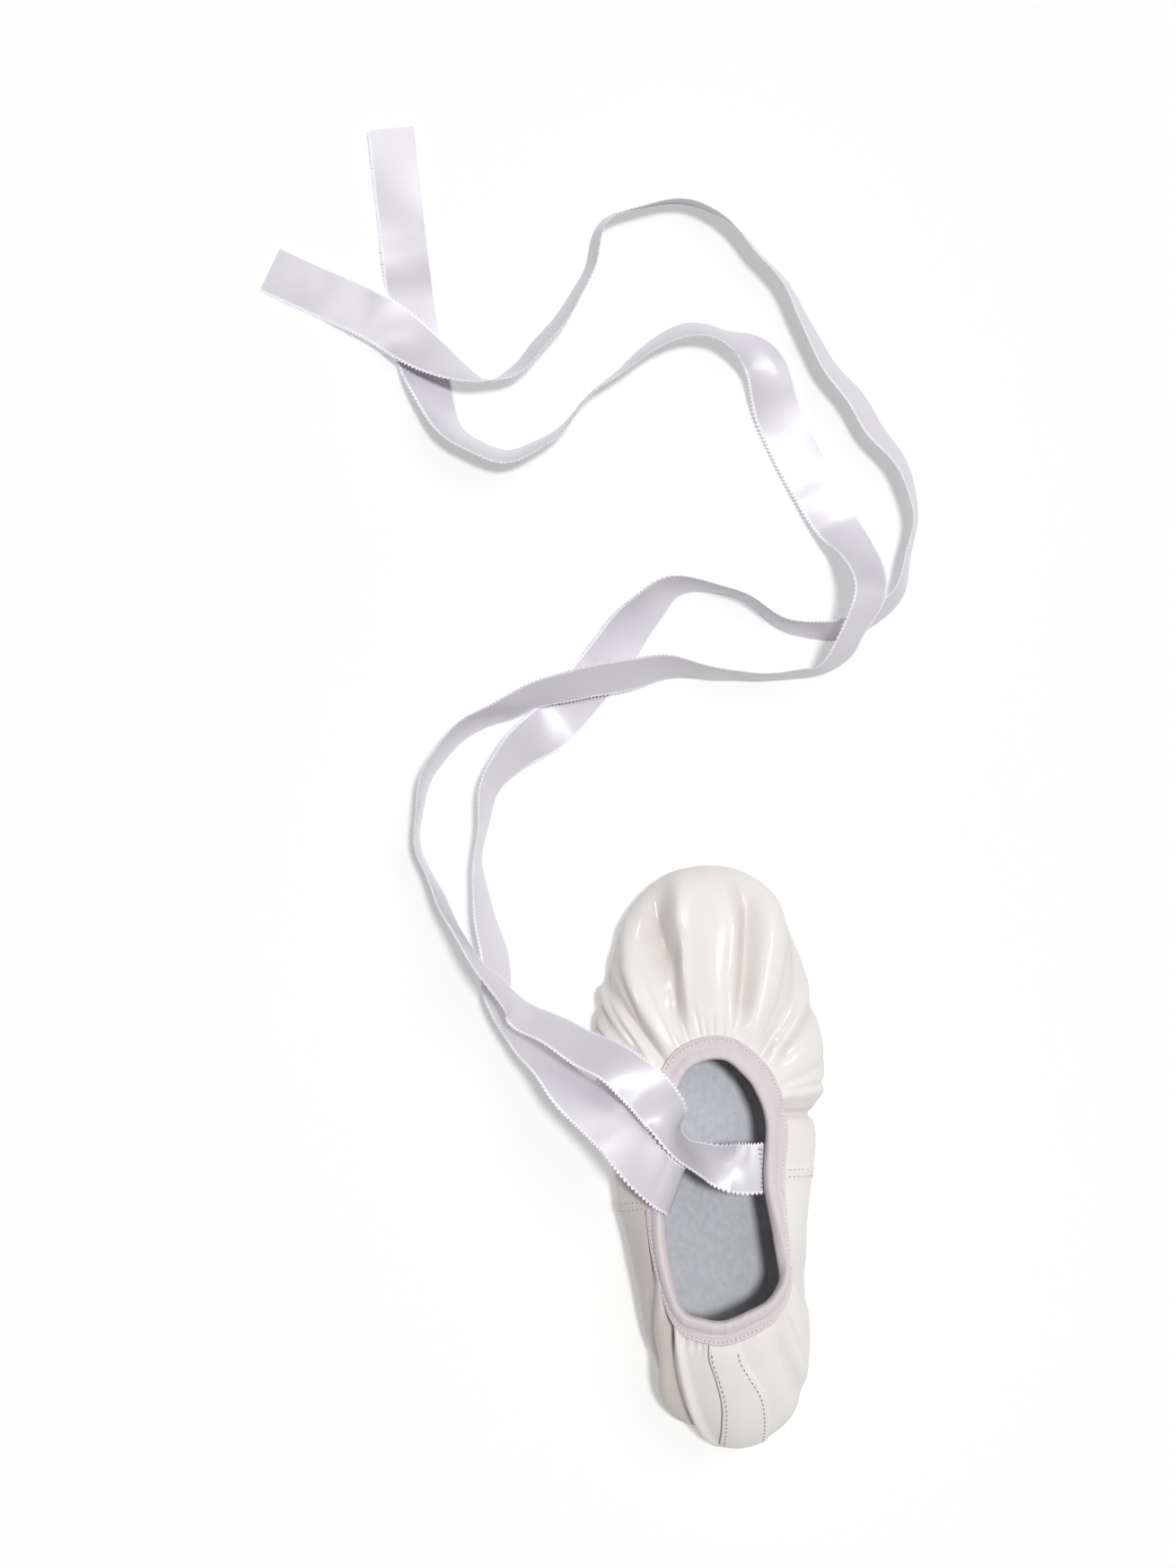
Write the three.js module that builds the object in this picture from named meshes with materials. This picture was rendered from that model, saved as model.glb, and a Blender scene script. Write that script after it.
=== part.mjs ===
// Ballet flat: a soft leather slipper with two satin ribbons.
// Millimetres. Toe along +Y, Z up, sole on Z = 0, origin under the middle of the shoe.
import * as THREE from "three";

// Driving sizes
const LENGTH = 240;
const BALL_WIDTH = 95;
const INSTEP_HEIGHT = 36;
const HEEL_HEIGHT = 44;
const WALL = 1.4;
const GAP = 0.3;
const INNER_GAP = 0.5;
const SOLE_THICK = 2.2;
const INSOLE_THICK = 1.6;
const TOE_SPRING = 3;
const ARCH_LIFT = 1.5;
const LASTING_MARGIN = 6;
const SOLE_REACH = 3;
const INSOLE_REACH = 0.2;
const STRIP_THICK = 0.8;
const STRIP_GAP = 0.45;
const RIBBON_WIDTH = 19;
const RIBBON_THICK = 0.5;
const FLOOR_GAP = 0.02;

// Resting zones of the sole along Y: heel flat, arch, forefoot flat, toe spring
const ARCH_BACK = -50;
const ARCH_FRONT = 25;
const SPRING_START = 75;
const SPRING_RUN = 35;

// Mesh steps
const STEPS_PER_RAY = 6;
const CROWN_ROWS = 7;
const BULGE_ROWS = 3;

// One row for each ray of the upper, from the collar edge out and down to the sole margin,
// counted from the heel round the right side to the toe and back along the left side.
// Across is in hundredths of half the ball width, along in hundredths of half the length,
// rise is 0 at instep height and 1 at heel height, bulge is the height of the widest point,
// crown is the fullness over the top, tuck the run under the widest point to the margin and flap
// the length of the collar binding's outer flap.
const RAY_COLUMNS = [
  "collarAcross", "collarAlong", "rise", "outlineAcross", "outlineAlong", "bulge", "crown", "tuck", "flap",
];
const RAYS = [
  [1, -53, 1.0, 11, -99.1, 13, 1.2, 11, 8.5],
  [23, -50, 1.0, 51, -93, 13, 1.2, 11, 8.3],
  [42, -46, 0.9, 71, -79, 13, 1.15, 12, 7.2],
  [54, -37, 0.75, 76.5, -61, 13, 1.1, 13, 6.3],
  [50.5, -24, 0.4, 78, -31, 13, 1.05, 14, 5.8],
  [44, -7, 0.1, 85, -7, 13, 1.1, 15, 7.4],
  [47, 13, 0, 92, 13, 13, 1.3, 15, 8.2],
  [38, 25, 0, 99.8, 32, 12, 1.6, 14, 8.2],
  [27, 31, 0, 91.5, 58, 12, 1.9, 13, 8.2],
  [15, 35.2, 0, 60, 89.8, 11, 2.0, 12, 8],
  [3, 36.2, 0, 8, 100, 11, 2.1, 12, 8],
  [-10, 35.2, 0, -50.5, 92, 11, 2.0, 12, 8],
  [-23, 32, 0, -86, 66.3, 12, 1.9, 13, 8],
  [-34, 23.5, 0, -100.5, 43, 12, 1.6, 14, 8],
  [-42, 10, 0, -98, 16, 13, 1.3, 15, 8],
  [-47, -7, 0.1, -86, -7, 13, 1.1, 15, 7],
  [-49.5, -24, 0.4, -77, -29, 13, 1.05, 14, 5.8],
  [-44, -39, 0.75, -68.5, -51, 13, 1.1, 13, 5.8],
  [-34, -49, 0.9, -57, -78, 13, 1.15, 12, 7],
  [-17, -52, 1.0, -25.5, -93.5, 13, 1.2, 11, 8.3],
];

// One row for each main fold of the leather: the ray it starts on at the collar, the ray it ends on
// at the outline, its half width in rays, its depth, and where it fades in and out down the ray.
const FOLD_COLUMNS = ["collarRay", "outlineRay", "halfWidth", "depth", "fadeIn", "fadeOut"];
const FOLDS = [
  [11.25, 10.65, 0.28, 3.4, 0.12, 0.6],
  [8.9, 9.65, 0.26, 3.4, 0.12, 0.6],
  [7.8, 8.5, 0.22, 2.6, 0.15, 0.95],
  [7.3, 7.8, 0.2, 2.4, 0.2, 1.05],
  [12.38, 12.02, 0.2, 2.6, 0.15, 1.05],
  [12.9, 12.55, 0.18, 2.0, 0.2, 1.1],
  [13.7, 13.4, 0.2, 1.8, 0.25, 1.1],
  [6.28, 6.08, 0.28, 2.4, 0.2, 1.2],
  [3.7, 3.6, 0.24, 1.8, 0.3, 1.2],
  [17.5, 17.8, 0.26, 2.4, 0.25, 1.1],
  [1.5, 1.9, 0.24, 1.4, 0.25, 0.95],
];

// One row for each level of the heel strip: place down the ray, middle and half width in rays.
const STRIP_COLUMNS = ["down", "middle", "halfWidth"];
const STRIP = [
  [0.15, -0.06, 0.6],
  [0.3, -0.15, 0.57],
  [0.42, 0.05, 0.53],
  [0.54, 0.2, 0.55],
  [0.66, 0.18, 0.55],
  [0.85, 0.09, 0.52],
  [1.2, 0.05, 0.49],
  [1.65, 0.03, 0.47],
];

// One row for each ribbon point, from the sewn end to the cut end: across, along,
// height of the lower edge above the floor, roll in degrees with the left edge up.
const RIBBON_INNER = [
  [23.2, -3, 31, 0],
  [13, -3, 33, 2],
  [7, -2, 31, 20],
  [-2, 1, 27, 48],
  [-10, 6, 29, 66],
  [-16, 13, 34, 54],
  [-21, 23, 39, 24],
  [-28, 33, 43, 22],
  [-39, 43, 40, 38],
  [-52, 50, 32, 46],
  [-66, 59, 24, 54],
  [-79, 66, 17, 63],
  [-90, 79, 21, 78],
  [-102, 102, 10, 82],
  [-112, 123, 1, 84],
  [-116, 142, 0, 85],
  [-111, 163, 0, 77],
  [-89, 182, 0, 68],
  [-70, 191, 4, 61],
  [-48, 197, 5, 53],
  [-24, 200, 2, 52],
  [2, 200, 0, 72],
  [30, 197, 0, 83],
  [52, 198, 4, 79],
  [66, 210, 18, 62],
  [73, 228, 19.5, 48],
  [69, 248, 4, 32],
  [57, 270, 0, 12],
  [42, 303, 0, 8],
  [34, 328, 0, 30],
  [22, 338, 0, 66],
  [4, 341, 0, 66],
  [-14, 332, 0, 74],
  [-38, 313, 0, 83],
  [-58, 298, 0, 74],
  [-74, 292, 0, 68],
  [-90, 299, 0, 66],
  [-101, 317, 0, 42],
  [-107, 343, 0, 3],
  [-114, 431, 0, 4],
];
const RIBBON_OUTER = [
  [-22.6, -9.2, 31, 0],
  [-17.2, -9.6, 36.5, 0],
  [-16.6, -9.4, 42, 0],
  [-21, -6, 46.5, 0],
  [-29, 2, 45.5, 2],
  [-38, 14, 41, 8],
  [-47, 23, 35, 14],
  [-57, 32, 26, 36],
  [-66, 42, 17, 54],
  [-75, 51, 9, 64],
  [-82, 61, 4, 66],
  [-86, 78, 1, 54],
  [-90, 103, 0, 66],
  [-90, 130, 0, 82],
  [-85, 154, 0, 68],
  [-74, 171, 0, 42],
  [-58, 181, 0, 8],
  [-36, 204, 0, 6],
  [-20, 224, 0, 36],
  [-8, 235, 0, 62],
  [4, 236, 0, 78],
  [22, 228, 0, 85],
  [43, 217, 0, 76],
  [68, 216, 0, 66],
  [86, 228, 0, 73],
  [95, 253, 0, 80],
  [92, 274, 0, 72],
  [79, 300, 0, 60],
  [63, 324, 0, 66],
  [46, 355, 0, 76],
  [30, 380, 0, 80],
  [8, 393, 0, 86],
  [-25, 387, 0, 78],
  [-38, 364, 0, 75],
  [-52, 341, 0, 69],
  [-68, 327, 0, 72],
  [-80, 323, 0, 80],
  [-102, 336, 4, 34],
  [-122, 351, 2, 4],
  [-167, 375, 0, 0],
];

// Materials
const LEATHER = new THREE.MeshStandardMaterial({ color: 0xefebe6, roughness: 0.35 });
const SUEDE = new THREE.MeshStandardMaterial({ color: 0xcfc7ba, roughness: 0.95 });
const LINING = new THREE.MeshStandardMaterial({ color: 0xb4b5ba, roughness: 0.95 });
const CLOTH = new THREE.MeshStandardMaterial({ color: 0xdcd4d8, roughness: 0.7 });
const SATIN = new THREE.MeshStandardMaterial({ color: 0xe2dee4, roughness: 0.3 });

const RAY_COUNT = RAYS.length;
const HALF_TURN = Math.PI / 2;
const UP = new THREE.Vector3(0, 0, 1);

// Cubic blend of four neighbours, the share running from the second to the third.
function blend(a, b, c, d, share) {
  const square = share * share;
  const cube = square * share;
  return 0.5 * (2 * b + (c - a) * share + (2 * a - 5 * b + 4 * c - d) * square + (3 * b - a - 3 * c + d) * cube);
}

// Step from 0 to 1 with soft ends.
function ease(from, to, value) {
  const share = Math.min(Math.max((value - from) / (to - from), 0), 1);
  return share * share * (3 - 2 * share);
}

// A table row read at a fractional place, closed round the shoe.
function rayAt(turn) {
  const base = Math.floor(turn);
  const share = turn - base;
  const pick = (step) => RAYS[(base + step + 2 * RAY_COUNT) % RAY_COUNT];
  const ray = {};
  RAY_COLUMNS.forEach((column, place) => {
    ray[column] = blend(pick(-1)[place], pick(0)[place], pick(1)[place], pick(2)[place], share);
  });
  return ray;
}

// A table read at a value of its first column.
function tableAt(table, columns, value) {
  const last = table.length - 1;
  const clipped = Math.min(Math.max(value, table[0][0]), table[last][0]);
  let base = 0;
  while (base < last - 1 && table[base + 1][0] < clipped) base += 1;
  const share = (clipped - table[base][0]) / (table[base + 1][0] - table[base][0]);
  const pick = (step) => table[Math.min(Math.max(base + step, 0), last)];
  const row = {};
  columns.forEach((column, place) => {
    row[column] = blend(pick(-1)[place], pick(0)[place], pick(1)[place], pick(2)[place], share);
  });
  return row;
}

// Height of the sole's underside above the floor.
function ground(along) {
  if (along > SPRING_START) return TOE_SPRING * ((along - SPRING_START) / SPRING_RUN) ** 2;
  if (along > ARCH_BACK && along < ARCH_FRONT) {
    return ARCH_LIFT * Math.sin((Math.PI * (along - ARCH_BACK)) / (ARCH_FRONT - ARCH_BACK)) ** 2;
  }
  return 0;
}

// Ends of one ray: collar edge, widest point and inward direction in plan.
function rayEnds(turn) {
  const ray = rayAt(turn);
  const halfWidth = BALL_WIDTH / 200;
  const halfLength = LENGTH / 200;
  const rim = INSTEP_HEIGHT + (HEEL_HEIGHT - INSTEP_HEIGHT) * ray.rise;
  const collar = new THREE.Vector3(ray.collarAcross * halfWidth, ray.collarAlong * halfLength, rim);
  const outline = new THREE.Vector3(ray.outlineAcross * halfWidth, ray.outlineAlong * halfLength, 0);
  const inward = new THREE.Vector3(collar.x - outline.x, collar.y - outline.y, 0).normalize();
  outline.z = ray.bulge + ground(outline.y);
  return { ray, collar, outline, inward };
}

// Smooth upper before folds. Down runs 0 to 1 from collar to widest point, 1 to 2 under to the margin,
// 2 to 3 along the flat margin.
function smoothUpper(turn, down) {
  const { ray, collar, outline, inward } = rayEnds(turn);
  if (down <= 1) {
    const angle = Math.max(down, 0) * HALF_TURN;
    const run = Math.sin(angle) ** (2 / ray.crown);
    const point = collar.clone().lerp(outline, run);
    point.z = outline.z + (collar.z - outline.z) * Math.cos(angle);
    return point;
  }
  const angle = Math.min(down - 1, 1) * HALF_TURN;
  const reach = ray.tuck * (1 - Math.cos(angle)) + LASTING_MARGIN * Math.max(down - 2, 0);
  const point = outline.clone().addScaledVector(inward, reach);
  const floor = SOLE_THICK + GAP + ground(point.y);
  point.z = floor + (outline.z - ground(outline.y) - SOLE_THICK - GAP) * (1 - Math.sin(angle));
  return point;
}

// Outward direction of a surface function at a place.
function outward(surface, turn, down) {
  const step = 0.02;
  const ahead = surface(turn + step, down).sub(surface(turn - step, down));
  const below = surface(turn, Math.min(down + step, 3)).sub(surface(turn, Math.max(down - step, 0)));
  return below.cross(ahead).normalize();
}

// Depth of the folds at a place, below the smooth surface.
function foldDepth(turn, down) {
  let depth = 0;
  for (const values of FOLDS) {
    const fold = Object.fromEntries(FOLD_COLUMNS.map((column, place) => [column, values[place]]));
    const share = Math.min(down, 1);
    const middle = fold.collarRay + (fold.outlineRay - fold.collarRay) * share;
    let away = turn - middle;
    away -= RAY_COUNT * Math.round(away / RAY_COUNT);
    const fade = ease(fold.fadeIn, fold.fadeIn + 0.3, down) * (1 - ease(fold.fadeOut, fold.fadeOut + 0.45, down));
    depth += fold.depth * fade * Math.exp(-((away / fold.halfWidth) ** 2));
  }
  return depth;
}

// Outer face of the upper with its folds.
function foldedUpper(turn, down) {
  const point = smoothUpper(turn, down);
  const depth = foldDepth(turn, down);
  if (depth < 0.001) return point;
  return point.addScaledVector(outward(smoothUpper, turn, down), -depth);
}

// A place at a height off the outer face.
function offUpper(turn, down, height) {
  return foldedUpper(turn, down).addScaledVector(outward(foldedUpper, turn, down), height);
}

// Place down the ray that lies a given length from the collar edge.
function downAtLength(turn, length) {
  const steps = 40;
  let before = foldedUpper(turn, 0);
  let travelled = 0;
  for (let step = 1; step <= steps; step += 1) {
    const down = step / steps;
    const point = foldedUpper(turn, down);
    const stride = point.distanceTo(before);
    if (travelled + stride >= length) return (step - 1 + (length - travelled) / stride) / steps;
    travelled += stride;
    before = point;
  }
  return 1;
}

// Mesh from points and triangles, turned outward.
function solid(name, points, triangles, material) {
  const positions = points.flatMap((point) => [point.x, point.y, point.z]);
  let volume = 0;
  for (let first = 0; first < triangles.length; first += 3) {
    const [a, b, c] = [0, 1, 2].map((corner) => points[triangles[first + corner]]);
    volume += a.dot(b.clone().cross(c));
  }
  const turned = volume < 0 ? triangles.map((_, place) => triangles[place - 2 * (place % 3) + 2]) : triangles;
  const geometry = new THREE.BufferGeometry();
  geometry.setAttribute("position", new THREE.Float32BufferAttribute(positions, 3));
  geometry.setIndex(turned);
  const mesh = new THREE.Mesh(geometry, material);
  mesh.name = name;
  return mesh;
}

// Triangles of a grid of rows; rows and columns may each close on themselves.
// Columns from a given one on are split along the other diagonal.
function gridTriangles(rows, columns, closedRows, closedColumns, offset = 0, turnedFrom = columns) {
  const triangles = [];
  const rowEnd = closedRows ? rows : rows - 1;
  const columnEnd = closedColumns ? columns : columns - 1;
  for (let row = 0; row < rowEnd; row += 1) {
    for (let column = 0; column < columnEnd; column += 1) {
      const nextRow = (row + 1) % rows;
      const nextColumn = (column + 1) % columns;
      const a = offset + row * columns + column;
      const b = offset + nextRow * columns + column;
      const c = offset + nextRow * columns + nextColumn;
      const d = offset + row * columns + nextColumn;
      if (column < turnedFrom) triangles.push(a, b, c, a, c, d);
      else triangles.push(a, b, d, b, c, d);
    }
  }
  return triangles;
}

// Ring swept round the shoe from a function giving the section at each turn.
function ring(name, sectionAt, material) {
  const turns = RAY_COUNT * STEPS_PER_RAY;
  const points = [];
  let columns = 0;
  for (let step = 0; step < turns; step += 1) {
    const section = sectionAt(step / STEPS_PER_RAY);
    columns = section.length;
    points.push(...section);
  }
  return solid(name, points, gridTriangles(turns, columns, true, true), material);
}

// Bar swept along an open line from a list of equal sections, closed at both ends by fans.
// Its two facing sides are split alike, so that a thin twisted bar keeps its thickness.
function bar(name, sections, material) {
  const columns = sections[0].length;
  const triangles = gridTriangles(sections.length, columns, false, true, 0, columns / 2);
  const last = (sections.length - 1) * columns;
  for (let column = 1; column < columns - 1; column += 1) {
    triangles.push(0, column, column + 1);
    triangles.push(last, last + column + 1, last + column);
  }
  return solid(name, sections.flat(), triangles, material);
}

function buildUpper() {
  const downs = [];
  for (let row = 0; row < CROWN_ROWS; row += 1) downs.push(row / CROWN_ROWS);
  for (let row = 0; row <= BULGE_ROWS; row += 1) downs.push(1 + row / BULGE_ROWS);
  downs.push(3);
  return ring("upper", (turn) => {
    const outer = downs.map((down) => foldedUpper(turn, down));
    const inner = downs.map((down) => offUpper(turn, down, -WALL));
    return [...outer, ...inner.reverse()];
  }, LEATHER);
}

// Left and right edge of a plate that reaches a given distance outside the margin line.
function plateEdges(reach) {
  const samples = 20 * RAY_COUNT;
  const loop = [];
  for (let step = 0; step < samples; step += 1) {
    const { ray, outline, inward } = rayEnds((step * RAY_COUNT) / samples);
    loop.push(outline.clone().addScaledVector(inward, ray.tuck - reach));
  }
  return loop;
}

function crossing(loop, along) {
  const hits = [];
  loop.forEach((point, place) => {
    const next = loop[(place + 1) % loop.length];
    if ((point.y - along) * (next.y - along) > 0 || point.y === next.y) return;
    hits.push(point.x + ((next.x - point.x) * (along - point.y)) / (next.y - point.y));
  });
  return [Math.min(...hits), Math.max(...hits)];
}

// Plate that follows the ground line, with slightly eased edges.
function plate(name, reach, bottom, thick, material) {
  const stations = 34;
  const endInset = 0.4;
  const easeIn = 0.5;
  const loop = plateEdges(reach);
  const back = Math.min(...loop.map((point) => point.y)) + endInset;
  const front = Math.max(...loop.map((point) => point.y)) - endInset;
  const sections = [];
  for (let station = 0; station <= stations; station += 1) {
    const along = back + ((front - back) * (1 - Math.cos((Math.PI * station) / stations))) / 2;
    const [left, right] = crossing(loop, along);
    const low = bottom + ground(along);
    const inset = Math.min(easeIn, (right - left) / 8);
    sections.push([
      new THREE.Vector3(left + inset, along, low),
      new THREE.Vector3(right - inset, along, low),
      new THREE.Vector3(right, along, low + thick / 2),
      new THREE.Vector3(right - inset, along, low + thick),
      new THREE.Vector3(left + inset, along, low + thick),
      new THREE.Vector3(left, along, low + thick / 2),
    ]);
  }
  return bar(name, sections, material);
}

// Section of the folded strip over the collar edge: an outer flap, a soft roll and an inner flap.
// Each row is a place down from the edge and a height off the outer face of the upper.
function bindingSection(flap) {
  const innerFlap = 6;
  const behind = -WALL - INNER_GAP;
  return [
    [flap, GAP],
    [flap, GAP + 0.8],
    [0.42 * flap, 1.3],
    [1.4, 2.0],
    [-1.0, 1.2],
    [-1.5, -0.7],
    [-1.0, -2.6],
    [1.4, -3.3],
    [innerFlap, -2.6],
    [innerFlap, behind],
    [-INNER_GAP, behind],
    [-INNER_GAP, GAP],
    [0.47 * flap, GAP],
  ];
}

function buildBinding() {
  return ring("collar_binding", (turn) => {
    const edge = foldedUpper(turn, 0);
    const slope = foldedUpper(turn, downAtLength(turn, 2)).sub(edge).normalize();
    return bindingSection(rayAt(turn).flap).map(([length, height]) => {
      if (length <= 0) return offUpper(turn, 0.001, height).addScaledVector(slope, length);
      return offUpper(turn, downAtLength(turn, length), height);
    });
  }, CLOTH);
}

function buildHeelStrip() {
  const levels = 14;
  const columns = 7;
  const lowest = 1.62;
  const points = { under: [], over: [] };
  for (let level = 0; level <= levels; level += 1) {
    const share = level / levels;
    for (let column = 0; column < columns; column += 1) {
      const side = (2 * column) / (columns - 1) - 1;
      const start = downAtLength(0, rayAt(0).flap + 4 * GAP);
      const down = start + (lowest - start) * share;
      const row = tableAt(STRIP, STRIP_COLUMNS, down);
      const turn = row.middle + side * row.halfWidth;
      points.under.push(offUpper(turn, down, STRIP_GAP));
      points.over.push(offUpper(turn, down, STRIP_GAP + STRIP_THICK));
    }
  }
  const rows = levels + 1;
  const all = [...points.under, ...points.over];
  const under = gridTriangles(rows, columns, false, false);
  const over = gridTriangles(rows, columns, false, false, rows * columns);
  const triangles = [...over];
  for (let first = 0; first < under.length; first += 3) triangles.push(under[first], under[first + 2], under[first + 1]);
  const border = [];
  for (let row = 0; row < rows; row += 1) border.push(row * columns);
  for (let column = 1; column < columns; column += 1) border.push((rows - 1) * columns + column);
  for (let row = rows - 2; row >= 0; row -= 1) border.push(row * columns + columns - 1);
  for (let column = columns - 2; column > 0; column -= 1) border.push(column);
  border.forEach((place, step) => {
    const next = border[(step + 1) % border.length];
    const lift = rows * columns;
    triangles.push(place, next, next + lift, place, next + lift, place + lift);
  });
  return solid("heel_strip", all, triangles, LEATHER);
}

// Flat strip along its table; the width direction is carried back from the cut end.
function buildRibbon(name, table) {
  const stepsPerPoint = 3;
  const steps = (table.length - 1) * stepsPerPoint;
  const lowEdge = new THREE.CatmullRomCurve3(table.map(([across, along, lift]) => new THREE.Vector3(across, along, lift)));
  const rolls = [];
  const middles = [];
  for (let step = 0; step <= steps; step += 1) {
    const base = Math.min(Math.floor(step / stepsPerPoint), table.length - 2);
    const pick = (offset) => table[Math.min(Math.max(base + offset, 0), table.length - 1)][3];
    const roll = THREE.MathUtils.degToRad(blend(pick(-1), pick(0), pick(1), pick(2), step / stepsPerPoint - base));
    const middle = lowEdge.getPoint(step / steps);
    middle.z = Math.max(middle.z, FLOOR_GAP);
    middle.z += (RIBBON_WIDTH * Math.abs(Math.sin(roll)) + RIBBON_THICK * Math.abs(Math.cos(roll))) / 2;
    rolls.push(roll);
    middles.push(middle);
  }
  const sections = [];
  let side = null;
  for (let step = steps; step >= 0; step -= 1) {
    const heading = middles[Math.min(step + 1, steps)].clone().sub(middles[Math.max(step - 1, 0)]).normalize();
    const across = UP.clone().cross(heading).normalize();
    if (side && side.dot(across) < 0) across.negate();
    side = across;
    const rise = heading.clone().cross(across).normalize();
    if (rise.z < 0) rise.negate();
    const width = across.clone().multiplyScalar(Math.cos(rolls[step])).addScaledVector(rise, Math.sin(rolls[step]));
    const face = heading.clone().cross(width).normalize();
    const corner = (wide, thick) => middles[step].clone()
      .addScaledVector(width, (wide * RIBBON_WIDTH) / 2)
      .addScaledVector(face, (thick * RIBBON_THICK) / 2);
    sections.push([corner(-1, -1), corner(1, -1), corner(1, 1), corner(-1, 1)]);
  }
  return bar(name, sections, SATIN);
}

const shoe = new THREE.Group();
shoe.name = "ballet_flat";
shoe.add(plate("outsole", SOLE_REACH, 0, SOLE_THICK, SUEDE));
shoe.add(buildUpper());
shoe.add(plate("insole", INSOLE_REACH, SOLE_THICK + WALL + 2 * GAP, INSOLE_THICK, LINING));
shoe.add(buildBinding());
shoe.add(buildHeelStrip());
shoe.add(buildRibbon("ribbon_inner", RIBBON_INNER));
shoe.add(buildRibbon("ribbon_outer", RIBBON_OUTER));

export default shoe;
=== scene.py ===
"""Ballet flat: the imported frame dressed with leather, cloth, satin, suede and stitches."""
import math

import bpy
import numpy as np
from bpy.props import FloatProperty, FloatVectorProperty, PointerProperty
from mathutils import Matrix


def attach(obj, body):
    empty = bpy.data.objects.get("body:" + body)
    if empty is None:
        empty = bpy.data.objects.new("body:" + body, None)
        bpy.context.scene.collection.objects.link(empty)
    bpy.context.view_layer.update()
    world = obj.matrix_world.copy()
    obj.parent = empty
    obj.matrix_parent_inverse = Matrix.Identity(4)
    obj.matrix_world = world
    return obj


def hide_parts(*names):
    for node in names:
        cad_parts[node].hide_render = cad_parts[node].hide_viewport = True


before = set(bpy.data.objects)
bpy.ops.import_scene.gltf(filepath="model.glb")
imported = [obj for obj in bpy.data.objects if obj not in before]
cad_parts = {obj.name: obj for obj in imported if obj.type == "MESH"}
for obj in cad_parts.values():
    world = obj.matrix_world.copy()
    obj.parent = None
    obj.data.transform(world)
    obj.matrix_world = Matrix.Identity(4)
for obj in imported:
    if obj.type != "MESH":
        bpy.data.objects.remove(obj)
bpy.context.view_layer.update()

MM = 0.001
BODY = "root"
SHARP_ANGLE = math.radians(55)

bl_info = {
    "name": "Ballet Flat",
    "version": (1, 0, 0),
    "blender": (4, 5, 0),
    "location": "View3D > Sidebar > Ballet Flat",
    "description": "Dresses the ballet flat's frame with leather, cloth, satin and stitches",
    "category": "Object",
}

# Sole levels along the shoe, in millimetres, as in the solids
GAP = 0.3
LASTING_MARGIN = 6.0
SOLE_REACH = 3.0
INSOLE_REACH = 0.2
ARCH_BACK = -50.0
ARCH_FRONT = 25.0
SPRING_START = 75.0
SPRING_RUN = 35.0

# Columns of the ray table below, and the four rows that a blend reads
COLLAR_X, COLLAR_Y, RISE, OUTLINE_X, OUTLINE_Y, BULGE, CROWN, TUCK, FLAP = range(9)
NEIGHBOURS = (-1, 0, 1, 2)
LEAST_LENGTH = 1e-9
LEAST_KNOT = 1e-4

# Table units in the whole length or width, last place down a ray, roll column of the ribbon tables
TABLE_SPAN = 200
RAY_END = 3
ROLL = 3

# Stitch grains: rings and sides of each, its narrowest tip, its roundness and how far its ends sink
GRAIN_RINGS = 7
GRAIN_SIDES = 8
GRAIN_TIP = 0.06
GRAIN_ROUND = 0.6
GRAIN_SINK = 0.9
THREAD_PHASE = 0.5
THREAD_SLANT = 0.2
HOLE_PHASE = 1.0
HOLE_SINK = 0.16

# One row for each stitch line: pitch as a share of the stitch length, radius and length share
# of the thread, radius and length share of the needle hole.
STITCH_STYLES = {
    "binding_stitches": (0.78, 0.4, 0.7, 0.26, 0.34),
    "heel_strip_stitches": (1.0, 0.24, 0.42, 0.3, 0.62),
    "side_seam_stitches": (1.0, 0.28, 0.7, 0.3, 0.34),
}

# One row for each ray of the upper, from the heel round the right side to the toe and back.
# Collar across and along, rise, outline across and along, bulge height, crown, tuck, binding flap.
# Across is in hundredths of half the ball width, along in hundredths of half the length.
RAYS = np.array([
    (1, -53, 1.0, 11, -99.1, 13, 1.2, 11, 8.5),
    (23, -50, 1.0, 51, -93, 13, 1.2, 11, 8.3),
    (42, -46, 0.9, 71, -79, 13, 1.15, 12, 7.2),
    (54, -37, 0.75, 76.5, -61, 13, 1.1, 13, 6.3),
    (50.5, -24, 0.4, 78, -31, 13, 1.05, 14, 5.8),
    (44, -7, 0.1, 85, -7, 13, 1.1, 15, 7.4),
    (47, 13, 0, 92, 13, 13, 1.3, 15, 8.2),
    (38, 25, 0, 99.8, 32, 12, 1.6, 14, 8.2),
    (27, 31, 0, 91.5, 58, 12, 1.9, 13, 8.2),
    (15, 35.2, 0, 60, 89.8, 11, 2.0, 12, 8),
    (3, 36.2, 0, 8, 100, 11, 2.1, 12, 8),
    (-10, 35.2, 0, -50.5, 92, 11, 2.0, 12, 8),
    (-23, 32, 0, -86, 66.3, 12, 1.9, 13, 8),
    (-34, 23.5, 0, -100.5, 43, 12, 1.6, 14, 8),
    (-42, 10, 0, -98, 16, 13, 1.3, 15, 8),
    (-47, -7, 0.1, -86, -7, 13, 1.1, 15, 7),
    (-49.5, -24, 0.4, -77, -29, 13, 1.05, 14, 5.8),
    (-44, -39, 0.75, -68.5, -51, 13, 1.1, 13, 5.8),
    (-34, -49, 0.9, -57, -78, 13, 1.15, 12, 7),
    (-17, -52, 1.0, -25.5, -93.5, 13, 1.2, 11, 8.3),
])

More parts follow.
